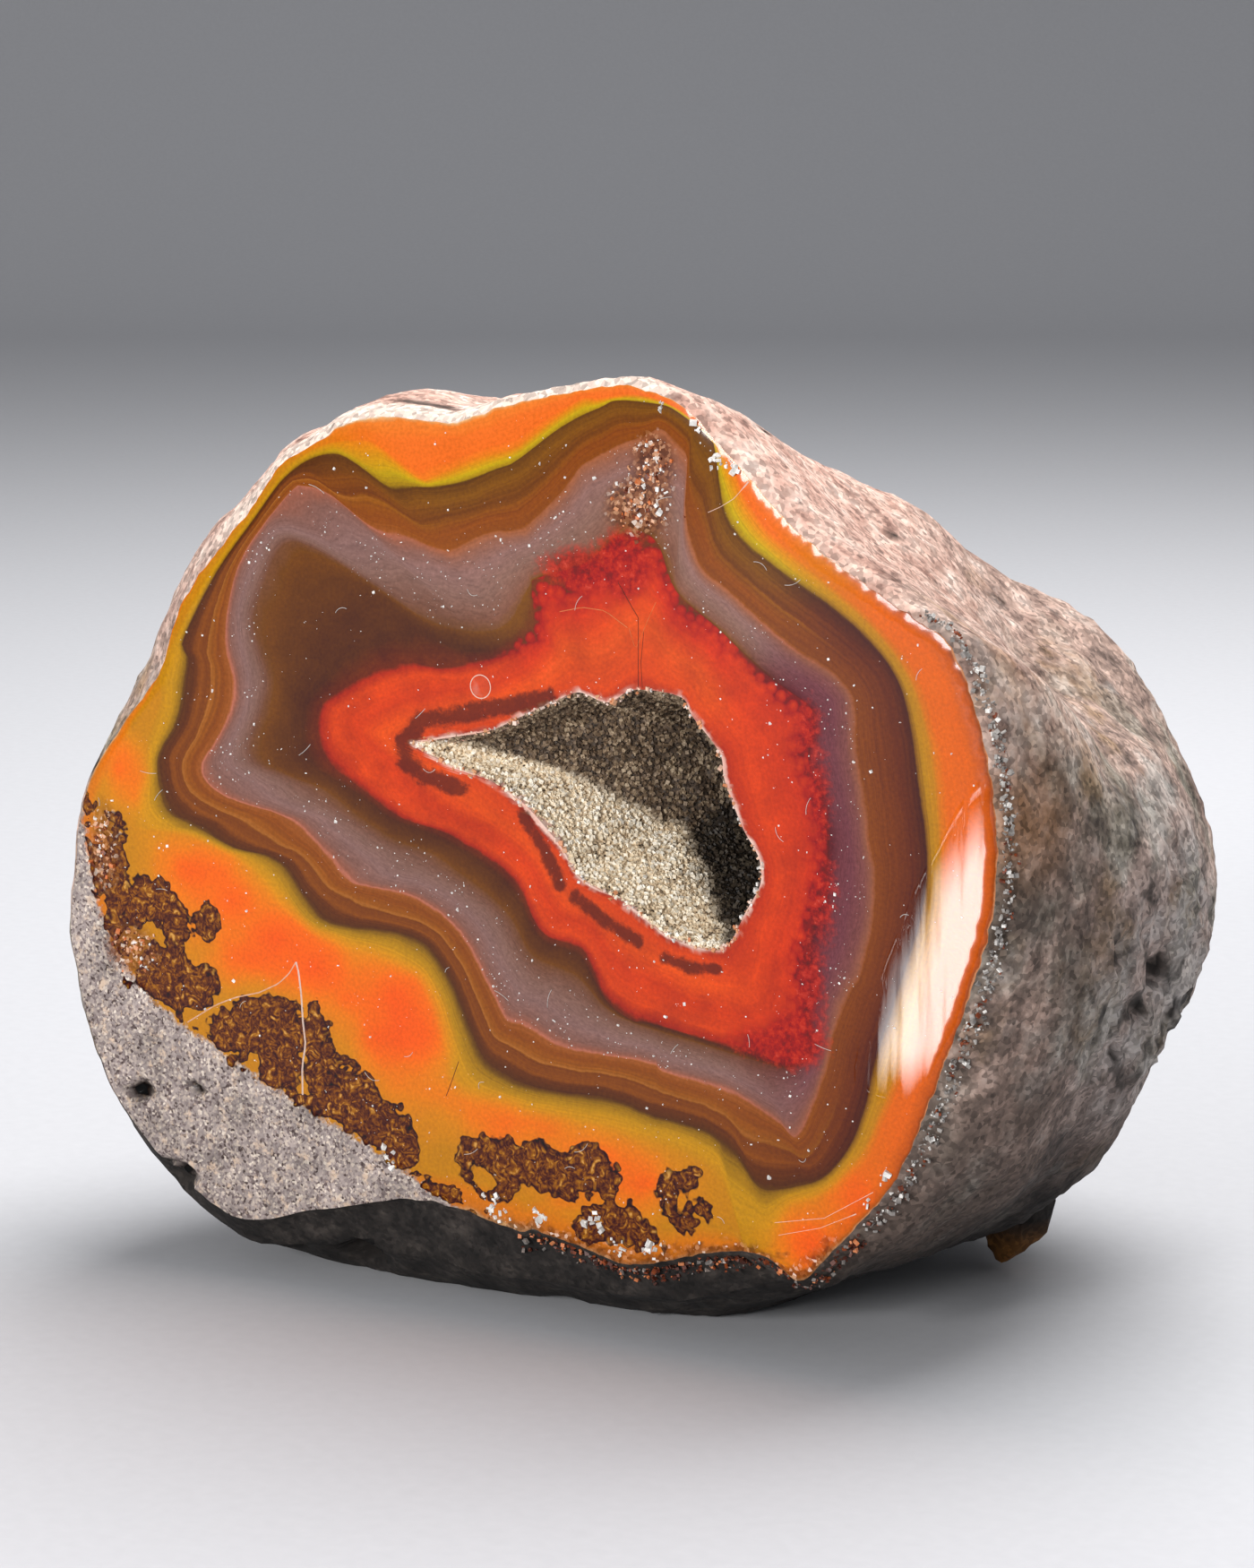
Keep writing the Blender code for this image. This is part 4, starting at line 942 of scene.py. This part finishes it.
def lookValues(points, band, paintedPitShade, knobCount):
    # what the stone's materials read at each point
    flat = points[:, [0, 2]]
    turn = np.degrees(np.arctan2(flat[:, 1], flat[:, 0]))
    jagged = fractalAt(placed(flat, 0.0), 1.6, 3)
    shadow = np.zeros(len(flat))
    for path, width in hollowShadows:
        shadow = np.maximum(shadow, smoothStep(width * 1.15, width * 0.2, distanceToPath(flat, path)))
    mouthEdge = distanceToPath(flat, outlines["mouth"] + outlines["mouth"][:1])

    # the moss also lines the host rock, and has windows
    toRock = sideOfPath(flat, rockLine)
    moss = np.maximum(lobeField(flat, mossLobes), 0.30 - 0.8 * np.abs(toRock + 0.45) + 0.5 * jagged)
    for window in mossWindows:
        moss = np.minimum(moss, (ovalReach(flat, *window) - 1) * 0.6)

    # a crumbly brown crust along the lower edge, the film of the burst bubble, and the brown tip of the knob
    toRim = insideOf(flat, outlines["rim"])
    crusted = (1.1 - toRim + 0.9 * jagged) * smoothStep(-118, -108, turn) * smoothStep(-58, -66, turn) - 0.3
    fromBubble = lengths(flat - np.array(bubble["middle"]))
    burst = smoothStep(bubble["radius"], bubble["radius"] * 0.85, fromBubble) * 0.3
    tip = smoothStep(-1.2, -3.2, points[:, 2] - stone["knobMiddle"][2]) * 0.6
    tip[:-knobCount] = 0.0
    # the top left, where a pale rind also gets painted light
    rindAndLightWhere = smoothStep(8.0, 20.0, flat[:, 1]) * smoothStep(6.0, -2.0, flat[:, 0])
    # the lower right flank, where the rock gets painted shade
    flankWhere = smoothStep(12.0, 18.0, flat[:, 0]) * smoothStep(8.0, -2.0, flat[:, 1] + 2.5 * jagged)
    return {
        "band": band, "paintedPitShade": paintedPitShade, "shadow": shadow, "rock": toRock, "moss": moss,
        "gleam": gleamAt(flat),
        "rightShare": smoothStep(70, 40, np.abs(turn + 5)),
        "topShare": smoothStep(46, 66, turn) * smoothStep(146, 128, turn),
        "sparkle": np.maximum(lobeField(flat, sparkleSpots), crusted),
        "ember": lobeField(flat, emberLobes, 1.1), "crimson": lobeField(flat, crimsonSpots),
        "lip": np.maximum(smoothStep(0.34, 0.05, mouthEdge + 0.25 * jagged) * 0.75, burst),
        "height": (points[:, 2] + stone["heartAboveFloor"]) / stone["height"],
        "ochre": smoothStep(6, 1, lengths(points - np.array(stone["ochreMiddle"]))) * 0.5 + tip,
        "rindAndPaintedLight": smoothStep(4.0, 0.8, points[:, 1]) * rindAndLightWhere,
        "flank": smoothStep(15.0, 6.0, points[:, 1] + 2.5 * jagged) * flankWhere,
        "ash": smoothStep(1.15, 0.55, eggReach(points, stone["eatenMiddle"], stone["eatenHalf"])),
    }


def buildStone():
    angles = spokeAngles(stone["faceSpokes"])
    count = len(angles)
    radii = bandRadii(angles)
    face, faceBands = faceRings(angles, radii)
    cave = caveRings(angles, radii[0])
    worn = placed(alongSpokes(radii[-1] + stone["wornEdge"], angles), face[-1][:, 1] + stone["wornEdge"])
    pole = np.array([stone["backPole"][0], stone["depth"], stone["backPole"][1]])
    rough = roughRings(angles[::2], worn[::2], pole)
    crust = rough.reshape(-1, 3)
    roughen(crust)
    rings = cave[::-1] + face + [worn]
    centre = np.zeros((1, 2))
    points = np.vstack([placed(centre, hollowDepth(centre))] + rings + [crust, pole])

    # pits, also those that the saw has opened, and the crack get painted shade inside
    onPolish = np.arange(len(points)) < 1 + len(rings) * count
    paintedPitShade = np.zeros(len(points))
    for radius, away in pitReaches(points):
        paintedPitShade = np.maximum(paintedPitShade, smoothStep(radius * 1.25, radius * 0.7, away))
        points[:, 1] += onPolish * np.clip(1 - (away / (radius * 1.2)) ** 2, 0, 1) * radius
    crack = smoothStep(1.15, 0.6, eggReach(points, stone["crackMiddle"], stone["crackHalf"])) * 0.85
    paintedPitShade = np.maximum(paintedPitShade, crack)

    faces, slots = stoneFaces(len(rings), len(rough), count)
    knobPoints, knobFaces = knobShell()
    faces += [[corner + len(points) for corner in face] for face in knobFaces]
    slots += [1] * len(knobFaces)
    points = np.vstack([points, knobPoints])
    paintedPitShade = np.append(paintedPitShade, np.zeros(len(knobPoints)))
    thing = newObject("agate_stone", points + heart, faces, polishedAgateMaterial(), sharp=38)
    thing.data.materials.append(roughRockMaterial())
    made = bmesh.new()
    made.from_mesh(thing.data)
    bmesh.ops.recalc_face_normals(made, faces=made.faces)
    made.to_mesh(thing.data)
    made.free()
    thing.data.polygons.foreach_set("material_index", slots)

    band = np.full(len(points), 6.0)
    faceFrom = 1 + len(cave) * count
    band[:faceFrom] = -0.2
    band[faceFrom:faceFrom + len(faceBands) * count] = np.repeat(faceBands, count)
    storeValues(thing, lookValues(points, band, paintedPitShade, len(knobPoints)))
    return thing


# The crystals of the hollow, in millimetres
crystals = {
    "count": 12500,
    "size": 0.185,       # edge of one crystal
    "seed": 7,
}


def newTree(name, inputs):
    # an empty geometry tree with named inputs, and what adds a node to it
    tree = bpy.data.node_groups.new(name, "GeometryNodeTree")
    for socket, kind in inputs:
        tree.interface.new_socket(name=socket, in_out="INPUT", socket_type="NodeSocket" + kind)
    tree.interface.new_socket(name="Geometry", in_out="OUTPUT", socket_type="NodeSocketGeometry")

    def add(kind, *given, **settings):
        return addNode(tree, kind, *given, **settings)
    return tree, add


def cubesOn(add, points, size, scale, seed):
    # a small cube on each point, turned at random
    cube = add("GeometryNodeMeshCube", {"Size": add("ShaderNodeCombineXYZ", (size, size, size))}, give="Mesh")
    turn = add("FunctionNodeRandomValue", {"Min": (0.0, 0.0, 0.0), "Max": (6.28, 6.28, 6.28), "Seed": seed},
               data_type="FLOAT_VECTOR")
    return add("GeometryNodeInstanceOnPoints", {
        "Points": points, "Instance": cube, "Rotation": turn, "Scale": scale})


def endTree(add, geometry, material):
    real = add("GeometryNodeRealizeInstances", (geometry,))
    dressed = add("GeometryNodeSetMaterial", {0: real, "Material": material})
    add("NodeGroupOutput", (dressed,), give=None)


def crystalTree(material):
    tree, add = newTree("sown crystals", [
        ("Geometry", "Geometry"), ("Crystals per square metre", "Float"), ("Crystal size", "Float"),
        ("Seed", "Int")])
    crust, density, size, seed = add("NodeGroupInput", give=None).outputs[:4]
    isSown = add("GeometryNodeInputNamedAttribute", {"Name": "sown"}, data_type="BOOLEAN")
    spots = add("GeometryNodeDistributePointsOnFaces", {
        "Mesh": crust, "Density": density, "Seed": seed, "Selection": isSown}, distribute_method="RANDOM")
    share, tint = [add("FunctionNodeRandomValue", {2: low, 3: high, "Seed": seed}, give=1, data_type="FLOAT")
                   for low, high in ((0.5, 1.5), (0.0, 1.0))]
    tinted = add("GeometryNodeStoreNamedAttribute", {"Geometry": spots, "Name": "tint", "Value": tint},
                 data_type="FLOAT", domain="POINT")
    sown = cubesOn(add, tinted, size, share, seed)
    joined = add("GeometryNodeJoinGeometry")
    for geometry in (crust, sown):
        tree.links.new(geometry, joined.node.inputs[0])
    endTree(add, joined, material)
    return tree


def scatterTree(material):
    tree, add = newTree("scattered bits", [("Geometry", "Geometry"), ("Bit size", "Float"), ("Seed", "Int")])
    places, bitSize, seed = add("NodeGroupInput", give=None).outputs[:3]
    spots = add("GeometryNodeMeshToPoints", (places,))
    size = add("GeometryNodeInputNamedAttribute", {"Name": "size"}, data_type="FLOAT")
    stretch = add("FunctionNodeRandomValue", {"Min": (0.4, 0.4, 0.4), "Max": (1.6, 1.6, 1.6), "Seed": seed},
                  data_type="FLOAT_VECTOR")
    shape = add("ShaderNodeVectorMath", {0: stretch, 3: size}, operation="SCALE")
    endTree(add, cubesOn(add, spots, bitSize, shape, seed), material)
    return tree


def grown(thing, tree, values):
    # runs a geometry tree on an object, keeps the plain mesh, and takes the modifier off
    modifier = thing.modifiers.new(tree.name, "NODES")
    modifier.node_group = tree
    for socket in tree.interface.items_tree:
        if socket.in_out == "INPUT" and socket.name in values:
            modifier[socket.identifier] = values[socket.name]
    mesh = bpy.data.meshes.new_from_object(thing.evaluated_get(bpy.context.evaluated_depsgraph_get()))
    thing.modifiers.remove(modifier)
    thing.data = mesh
    return thing


def crustValues(points):
    # what the crystals' material reads, painted light and shade: the painted lit wall ends along a slanting
    # line, with painted shade of a dark cave behind and deeper in
    lower = distanceToPath(points[:, [0, 2]], mouthSides()[1])
    across = 0.866 * points[:, 0] + 0.5 * points[:, 1]
    upward = -0.087 * points[:, 0] + 0.15 * points[:, 1] + 0.985 * points[:, 2]
    beyond = across - 1.9 - 0.378 * (0.2 - upward) + 0.5 * fractalAt(points, 0.8, 2)
    aboveFloor = hollow["lowerWall"] * lower - (points[:, 1] + 1.3)
    # painted light: the lit part of the lower wall
    paintedLitWall = smoothStep(1.6, 0.2, aboveFloor) * smoothStep(0.8, -0.6, beyond)
    # painted shade behind the lit wall, in the dark cave and deeper in
    shadeBehind = smoothStep(-2.5, 3.0, beyond - 0.9 * np.clip(upward + 1.0, 0, 3)) * 0.55
    cave = smoothStep(-0.6, 1.0, beyond - 1.3 * np.clip(upward + 2.0, 0, 6))
    paintedCaveShade = np.maximum(np.maximum(smoothStep(4.0, 10.0, points[:, 1]) * 0.45, shadeBehind), cave) * (1 - paintedLitWall)
    return {"paintedLitWall": paintedLitWall, "paintedCaveShade": paintedCaveShade, "tint": np.full(len(points), 0.45)}


def buildCrystals():
    material = crystalMaterial()
    angles = spokeAngles(hollow["spokes"])
    count = len(angles)
    edge = radiusAt("mouth", angles)
    front, back = [], []
    for ring in range(hollow["rings"]):
        flat = alongSpokes(edge * (1 - (ring / hollow["rings"]) ** 1.15), angles)
        fromLip = distanceToPath(flat, outlines["mouth"] + outlines["mouth"][:1])
        inset = hollow["crust"] * smoothStep(0, 2.5, fromLip) + hollow["crustAtMouth"]
        lumps = fractalAt(placed(flat, 0.0), 0.75, 3) * hollow["lump"]
        depth = hollowDepth(flat) - inset * hollow["crustSlant"] + lumps * smoothStep(0.2, 1.6, fromLip)
        front.append(placed(flat, np.maximum(depth, hollow["lipDepth"])))
        if ring % 4 == 0:
            back.append(placed(flat * 0.995, np.maximum(hollowDepth(flat) - 0.02, hollow["lipDepth"] + 0.08)))
    frontEnd = np.array([0.0, front[-1][:, 1].mean(), 0.0])
    backEnd = np.array([0.0, hollowDepth(np.zeros((1, 2)))[0] - 0.02, 0.0])
    rings = back[::-1] + front
    points = np.vstack(rings + [backEnd, frontEnd])
    faces = shellFaces(len(rings), count)
    thing = newObject("hollow_crystals", points + heart, turnedOutward(points, faces), material, sharp=0)
    storeValues(thing, crustValues(points))
    sown = thing.data.attributes.new("sown", "BOOLEAN", "FACE")
    isFront = np.zeros(len(faces), bool)
    isFront[len(back) * count:(len(rings) - 1) * count] = True
    isFront[(len(rings) - 1) * count + 1::2] = True
    sown.data.foreach_set("value", isFront)
    area = sum(face.area for face, chosen in zip(thing.data.polygons, isFront) if chosen)
    return grown(thing, crystalTree(material), {
        "Crystals per square metre": crystals["count"] / area, "Crystal size": crystals["size"] * mm,
        "Seed": crystals["seed"]})


# Loose bits: how many, how big in millimetres, and the tints they are picked from
bits = {
    "dust": 2400, "dustSize": 0.047,
    "lipChips": 260, "lipChipSize": 0.14, "lipTints": [0.4, 0.46, 0.52, 0.6, 0.94],
    "druse": 260, "druseSize": 0.22, "druseTints": [0.16, 0.34, 0.42, 0.48, 0.98],
    "crumbs": 1500, "crumbSize": 0.15,       # grains that stand along the sawn edge at the right and below
    "rightTints": [0.17, 0.72, 0.76, 0.8, 0.86, 0.95], "belowTints": [0.06, 0.1, 0.14, 0.18, 0.36, 0.7],
    "lint": 34, "lintRadius": 0.016,         # fibres lying on the polish
    "seed": 23,
}

# Places along the rim where quartz has broken into white grains
brokenEdges = [
    (17.8, -22.6), (16.8, -24.5), (1.3, 26.4), (3.9, 24.9), (5.2, 22.9), (6.5, 22.4), (-12.1, -28.2),
    (-10.9, -28.7), (-8.1, -28.3), (-3.7, -28.2), (-2.0, -30.0), (0.4, -29.7), (-20.2, -26.0)]

# Scratches, arcs and chip edges on the polish: the path, its radius in millimetres, and how pale it is
marks = [
    ([
        (-36.7, -18.6), (-34.3, -17.1), (-32.7, -16.4), (-30.6, -15.8), (-29.0, -15.0), (-28.1, -14.2),
        (-27.5, -13.3)],
     0.11, 0.5),
    ([
        (-27.5, -13.3), (-27.3, -14.0), (-27.1, -15.6), (-27.0, -17.4), (-26.8, -19.0), (-27.1, -20.6),
        (-27.1, -22.6)],
     0.17, 0.59),
    ([(-2.0, 14.5), (-1.0, 13.0), (-0.5, 12.3), (-0.5, 10.0), (-0.5, 7.8)], 0.06, 0.1),
    ([(4.6, 19.4), (5.5, 19.8), (6.5, 20.4), (7.5, 21.5)], 0.05, 0.55),
    ([(9.7, -26.5), (13.3, -25.7), (16.8, -23.5)], 0.04, 0.58),
    ([(10.0, -27.3), (13.0, -26.4), (15.6, -25.1)], 0.04, 0.55),
    ([(-14.4, -18.7), (-14.9, -20.0), (-15.4, -21.2)], 0.07, 0.14),
    ([(-6.4, 12.3), (-4.7, 12.7), (-3.0, 12.6), (-1.3, 11.6)], 0.07, 0.34),
    ([(-1.2, 11.6), (-0.7, 10.2), (0.2, 12.2), (0.8, 13.4)], 0.05, 0.32),
    ([(-0.1, 11.4), (-0.3, 9.4), (-0.2, 7.8)], 0.05, 0.08),
]
bubble = {"middle": (-12.5, 6.9), "radius": 0.78, "thickness": 0.035}


def scattered(name, points, sizes, tints, bitSize, material):
    thing = newObject(name, points + heart, [], material, sharp=0)
    storeValues(thing, {"size": sizes, "tint": tints})
    return grown(thing, scatterTree(material), {"Bit size": bitSize * mm, "Seed": bits["seed"]})


def onFace(chance, count):
    # random places on the polished face, as distances from its heart
    places = np.zeros((0, 2))
    while len(places) < count:
        tries = chance.uniform((-46, -31), (25, 27), (count, 2))
        kept = (insideOf(tries, outlines["rim"]) > 0.6) & (insideOf(tries, outlines["mouth"]) < -0.4)
        kept &= sideOfPath(tries, rockLine) < -0.5
        places = np.vstack([places, tries[kept]])
    return places[:count]


def bandAt(places, radii):
    # which band a place on the face lies in, by its distance along its spoke
    angles = spokeAngles(len(radii[0]))
    turn = np.arctan2(places[:, 1], places[:, 0])
    nearest = np.round((angles[0] - turn) / (2 * math.pi / len(angles))).astype(int) % len(angles)
    edges = np.stack(radii)[:, nearest]
    return (edges < lengths(places)).sum(axis=0) - 1 + 0.5


def dustSpecks(chance, material):
    # dust lies thicker on the quartz band, where the polish is pitted
    places = onFace(chance, bits["dust"] * 4)
    band = bandAt(places, bandRadii(spokeAngles(360)))
    clusters = smoothStep(-0.25, 0.45, fractalAt(placed(places, 0.0), 0.35, 3))
    odds = (0.15 + 1.3 * clusters) * np.where((band > 1.6) & (band < 3.1), 0.9, 0.16)
    places = places[chance.random(len(places)) < odds][:bits["dust"]]
    sizes = np.clip(chance.lognormal(-0.25, 0.6, len(places)), 0.35, 3.2)
    tints = np.full(len(places), 0.98)
    return scattered("dust_specks", placed(places, -0.01), sizes, tints, bits["dustSize"], material)


def lipChips(chance, material):
    # broken crystals along the mouth of the hollow
    curve, count = closedCurve(outlines["mouth"], 40), bits["lipChips"]
    places = curve[chance.integers(0, len(curve), count)] + chance.normal(0, 0.13, (count, 2))
    sizes = chance.uniform(0.4, 1.7, count)
    tints = chance.choice(bits["lipTints"], count)
    return scattered("lip_chips", placed(places, 0.04), sizes, tints, bits["lipChipSize"], material)


def druseCrystals(chance, material):
    # crystals that catch the light in the druse and the moss, and white grains along the rim
    spots, count = np.array(sparkleSpots), bits["druse"]
    which = chance.integers(0, len(spots), count)
    druse = spots[which, :2] + chance.normal(0, 0.42, (count, 2)) * spots[which, 2:]
    grains = np.repeat(brokenEdges, 12, axis=0) + chance.normal(0, 0.36, (len(brokenEdges) * 12, 2))
    grains = grains[insideOf(grains, outlines["rim"]) > 0.1]
    tints = np.concatenate([chance.choice(bits["druseTints"], count), chance.uniform(0.88, 1.0, len(grains))])
    sizes = np.concatenate([chance.uniform(0.3, 1.2, count), chance.uniform(0.3, 1.5, len(grains))])
    places = placed(np.vstack([druse, grains]), 0.02)
    return scattered("druse_crystals", places, sizes, tints, bits["druseSize"], material)


def edgeCrumbs(chance, stoneMesh, material):
    # crumbs of rock and quartz along the sawn edge
    corners = np.array([vertex.co[:] for vertex in stoneMesh.vertices]) / mm - heart
    turn = np.degrees(np.arctan2(corners[:, 2], corners[:, 0]))
    onEdge = (corners[:, 1] > 0.3) & (corners[:, 1] < 1.15) & (np.hypot(corners[:, 0], corners[:, 2]) > 20)
    right, below = [corners[onEdge & (turn > low) & (turn < high)] for low, high in ((-58, 36), (-108, -60))]
    shares = [int(bits["crumbs"] * 0.6), int(bits["crumbs"] * 0.4)]
    places = np.vstack([chance.choice(right, shares[0]), chance.choice(below, shares[1])])
    places += chance.normal(0, 0.16, places.shape)
    tints = np.concatenate([chance.choice(bits[name], share)
                            for name, share in zip(("rightTints", "belowTints"), shares)])
    sizes = chance.uniform(0.3, 1.6, len(places))
    return scattered("edge_crumbs", places, sizes, tints, bits["crumbSize"], material)


def tube(path, radius, sides=4):
    # a thin closed thread through the points of a path
    path = np.asarray(path, float)
    run = np.gradient(path, axis=0)
    run /= lengths(run)[:, None]
    across = np.cross(run, (0.0, 1.0, 0.0))
    across /= lengths(across)[:, None]
    up = np.cross(across, run)
    turns = np.arange(sides) * 2 * math.pi / sides
    points = [path + radius * (np.cos(turn) * across + np.sin(turn) * up) for turn in turns]
    points = np.stack(points, axis=1).reshape(-1, 3)
    faces = []
    for ring in range(len(path) - 1):
        faces += ringFaces(ring * sides, sides, (ring + 1) * sides)
    faces += [list(range(sides)), list(range(len(points) - sides, len(points)))[::-1]]
    return points, turnedOutward(points, faces)


def lintThreads(chance):
    # fibres, each with its radius and tint
    threads = []
    for x, z in onFace(chance, bits["lint"]):
        length, bow, turn = chance.uniform(0.5, 1.4), chance.uniform(-0.5, 0.5), chance.uniform(0, math.pi)
        t = np.linspace(-0.5, 0.5, 8)
        along, aside = t * length, bow * (0.25 - t ** 2) * 2
        flat = np.stack([x + along * math.cos(turn) - aside * math.sin(turn),
                         z + along * math.sin(turn) + aside * math.cos(turn)], axis=1)
        threads.append((placed(flat, -0.03), bits["lintRadius"], 0.92))
    return threads


def markThreads():
    # scratches and the ring of a burst bubble
    threads = []
    for path, radius, tint in marks:
        curve = np.array(path, float)
        share = np.linspace(0, len(curve) - 1, len(curve) * 3)
        fine = np.stack([np.interp(share, range(len(curve)), curve[:, k]) for k in (0, 1)], axis=1)
        threads.append((placed(fine, 0.6 * radius), radius, tint))
    turns = np.linspace(0, 2 * math.pi, 33)
    ring = np.array(bubble["middle"]) + bubble["radius"] * np.stack([np.cos(turns), np.sin(turns)], axis=1)
    return threads + [(placed(ring, 0.0), bubble["thickness"], 0.58)]


def lintAndScratches(chance, material):
    points, faces, tints = np.zeros((0, 3)), [], []
    for path, radius, tint in lintThreads(chance) + markThreads():
        more, moreFaces = tube(path, radius)
        faces += [[corner + len(points) for corner in face] for face in moreFaces]
        points = np.vstack([points, more])
        tints += [tint] * len(more)
    thing = newObject("lint_and_scratches", points + heart, faces, material)
    storeValues(thing, {"tint": tints})
    return thing


def buildBits(stoneMesh):
    material = bitMaterial()
    chance = np.random.default_rng(bits["seed"])
    return [dustSpecks(chance, material), lipChips(chance, material), druseCrystals(chance, material),
            edgeCrumbs(chance, stoneMesh, material), lintAndScratches(chance, material)]


print("building the stone")
agateStone = buildStone()
print("building the crystals")
hollowCrystals = buildCrystals()
print("scattering dust, chips and lint")
looseBits = buildBits(agateStone.data)
for piece, node, slot in ((agateStone, "agate_nodule", "agate_and_rock"),
                          (hollowCrystals, "cavity_crust", "fine_crystals")):
    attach(piece, "root")
    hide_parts(node)
for piece in looseBits:
    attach(piece, "root")

# The studio, in millimetres
studio = {
    "cameraPlace": (148.12, -266.04, 86.73),
    "cameraLooks": (-0.4924, 0.8529, -0.1736),
    "lens": 100.0,
    "floorColour": "#C2C2C5", "floorTooth": "#C9C9CC",
    "floorReach": 1500.0, "floorBack": 900.0, "floorBend": 300.0, "wallTop": 2000.0, "floorHalfWidth": 6000.0,
    "floorTurn": 30,              # degrees
    "roomColour": "#F4F6FA", "roomStrength": 0.35,
    # lights: name, place, what they face, width and height, and power in watts
    "lights": [("top key", (20, 170, 460), (0, 0, 20), (420, 420), 3.6),
               ("front softbox", (-67, -500, 137), (0, 0, 30), (100, 145), 2.0)],
}


def addLight(name, place, target, size, power):
    lamp = bpy.data.lights.new(name, "AREA")
    lamp.shape = "RECTANGLE"
    lamp.size, lamp.size_y = size[0] * mm, size[1] * mm
    lamp.energy = power
    thing = bpy.data.objects.new(name, lamp)
    thing.location = Vector(place) * mm
    thing.rotation_euler = (Vector(target) - Vector(place)).to_track_quat("-Z", "Y").to_euler()
    bpy.context.collection.objects.link(thing)


def paperMaterial():
    # Matt paper: an even pale floor without gloss
    material, add = newMaterial("matt paper sweep")
    place = add("TexCoord", give="Object")
    tooth = add("TexNoise", {"Vector": place, "Scale": 900.0, "Detail": 2.0}, give="Fac")
    colour = layered(add, studio["floorColour"], [(tooth, studio["floorTooth"])])
    surface = add("BsdfPrincipled", {"Base Color": colour, "Roughness": 0.9, "Specular IOR Level": 0.1})
    add("OutputMaterial", {"Surface": surface}, give=None)
    return material


def buildFloor():
    back, bend = studio["floorBack"], studio["floorBend"]
    top, width = studio["wallTop"], studio["floorHalfWidth"]
    profile = [(-studio["floorReach"], 0.0), (back, 0.0)]
    for turn in np.linspace(0, math.pi / 2, 16)[1:]:
        profile.append((back + bend * math.sin(turn), bend * (1 - math.cos(turn))))
    profile.append((back + bend, top))
    points = [(x, y, z) for y, z in profile for x in (-width, width)]
    faces = [(2 * k, 2 * k + 1, 2 * k + 3, 2 * k + 2) for k in range(len(profile) - 1)]
    turned = Matrix.Rotation(math.radians(studio["floorTurn"]), 3, "Z")
    return newObject("paper_sweep", [turned @ Vector(p) for p in points], faces, paperMaterial(), sharp=0)


def buildStudio():
    buildFloor()
    scene = bpy.context.scene
    scene.world = bpy.data.worlds.new("soft room")
    scene.world.use_nodes = True
    room = scene.world.node_tree.nodes["Background"].inputs
    room["Color"].default_value = linear(studio["roomColour"])
    room["Strength"].default_value = studio["roomStrength"]
    for light in studio["lights"]:
        addLight(*light)
    camera = bpy.data.objects.new("camera", bpy.data.cameras.new("camera"))
    camera.data.lens = studio["lens"]
    camera.data.clip_start = 0.01
    camera.location = Vector(studio["cameraPlace"]) * mm
    camera.rotation_euler = Vector(studio["cameraLooks"]).to_track_quat("-Z", "Y").to_euler()
    bpy.context.collection.objects.link(camera)
    scene.camera = camera
    scene.view_settings.view_transform = "Standard"


print("setting up the studio")
buildStudio()
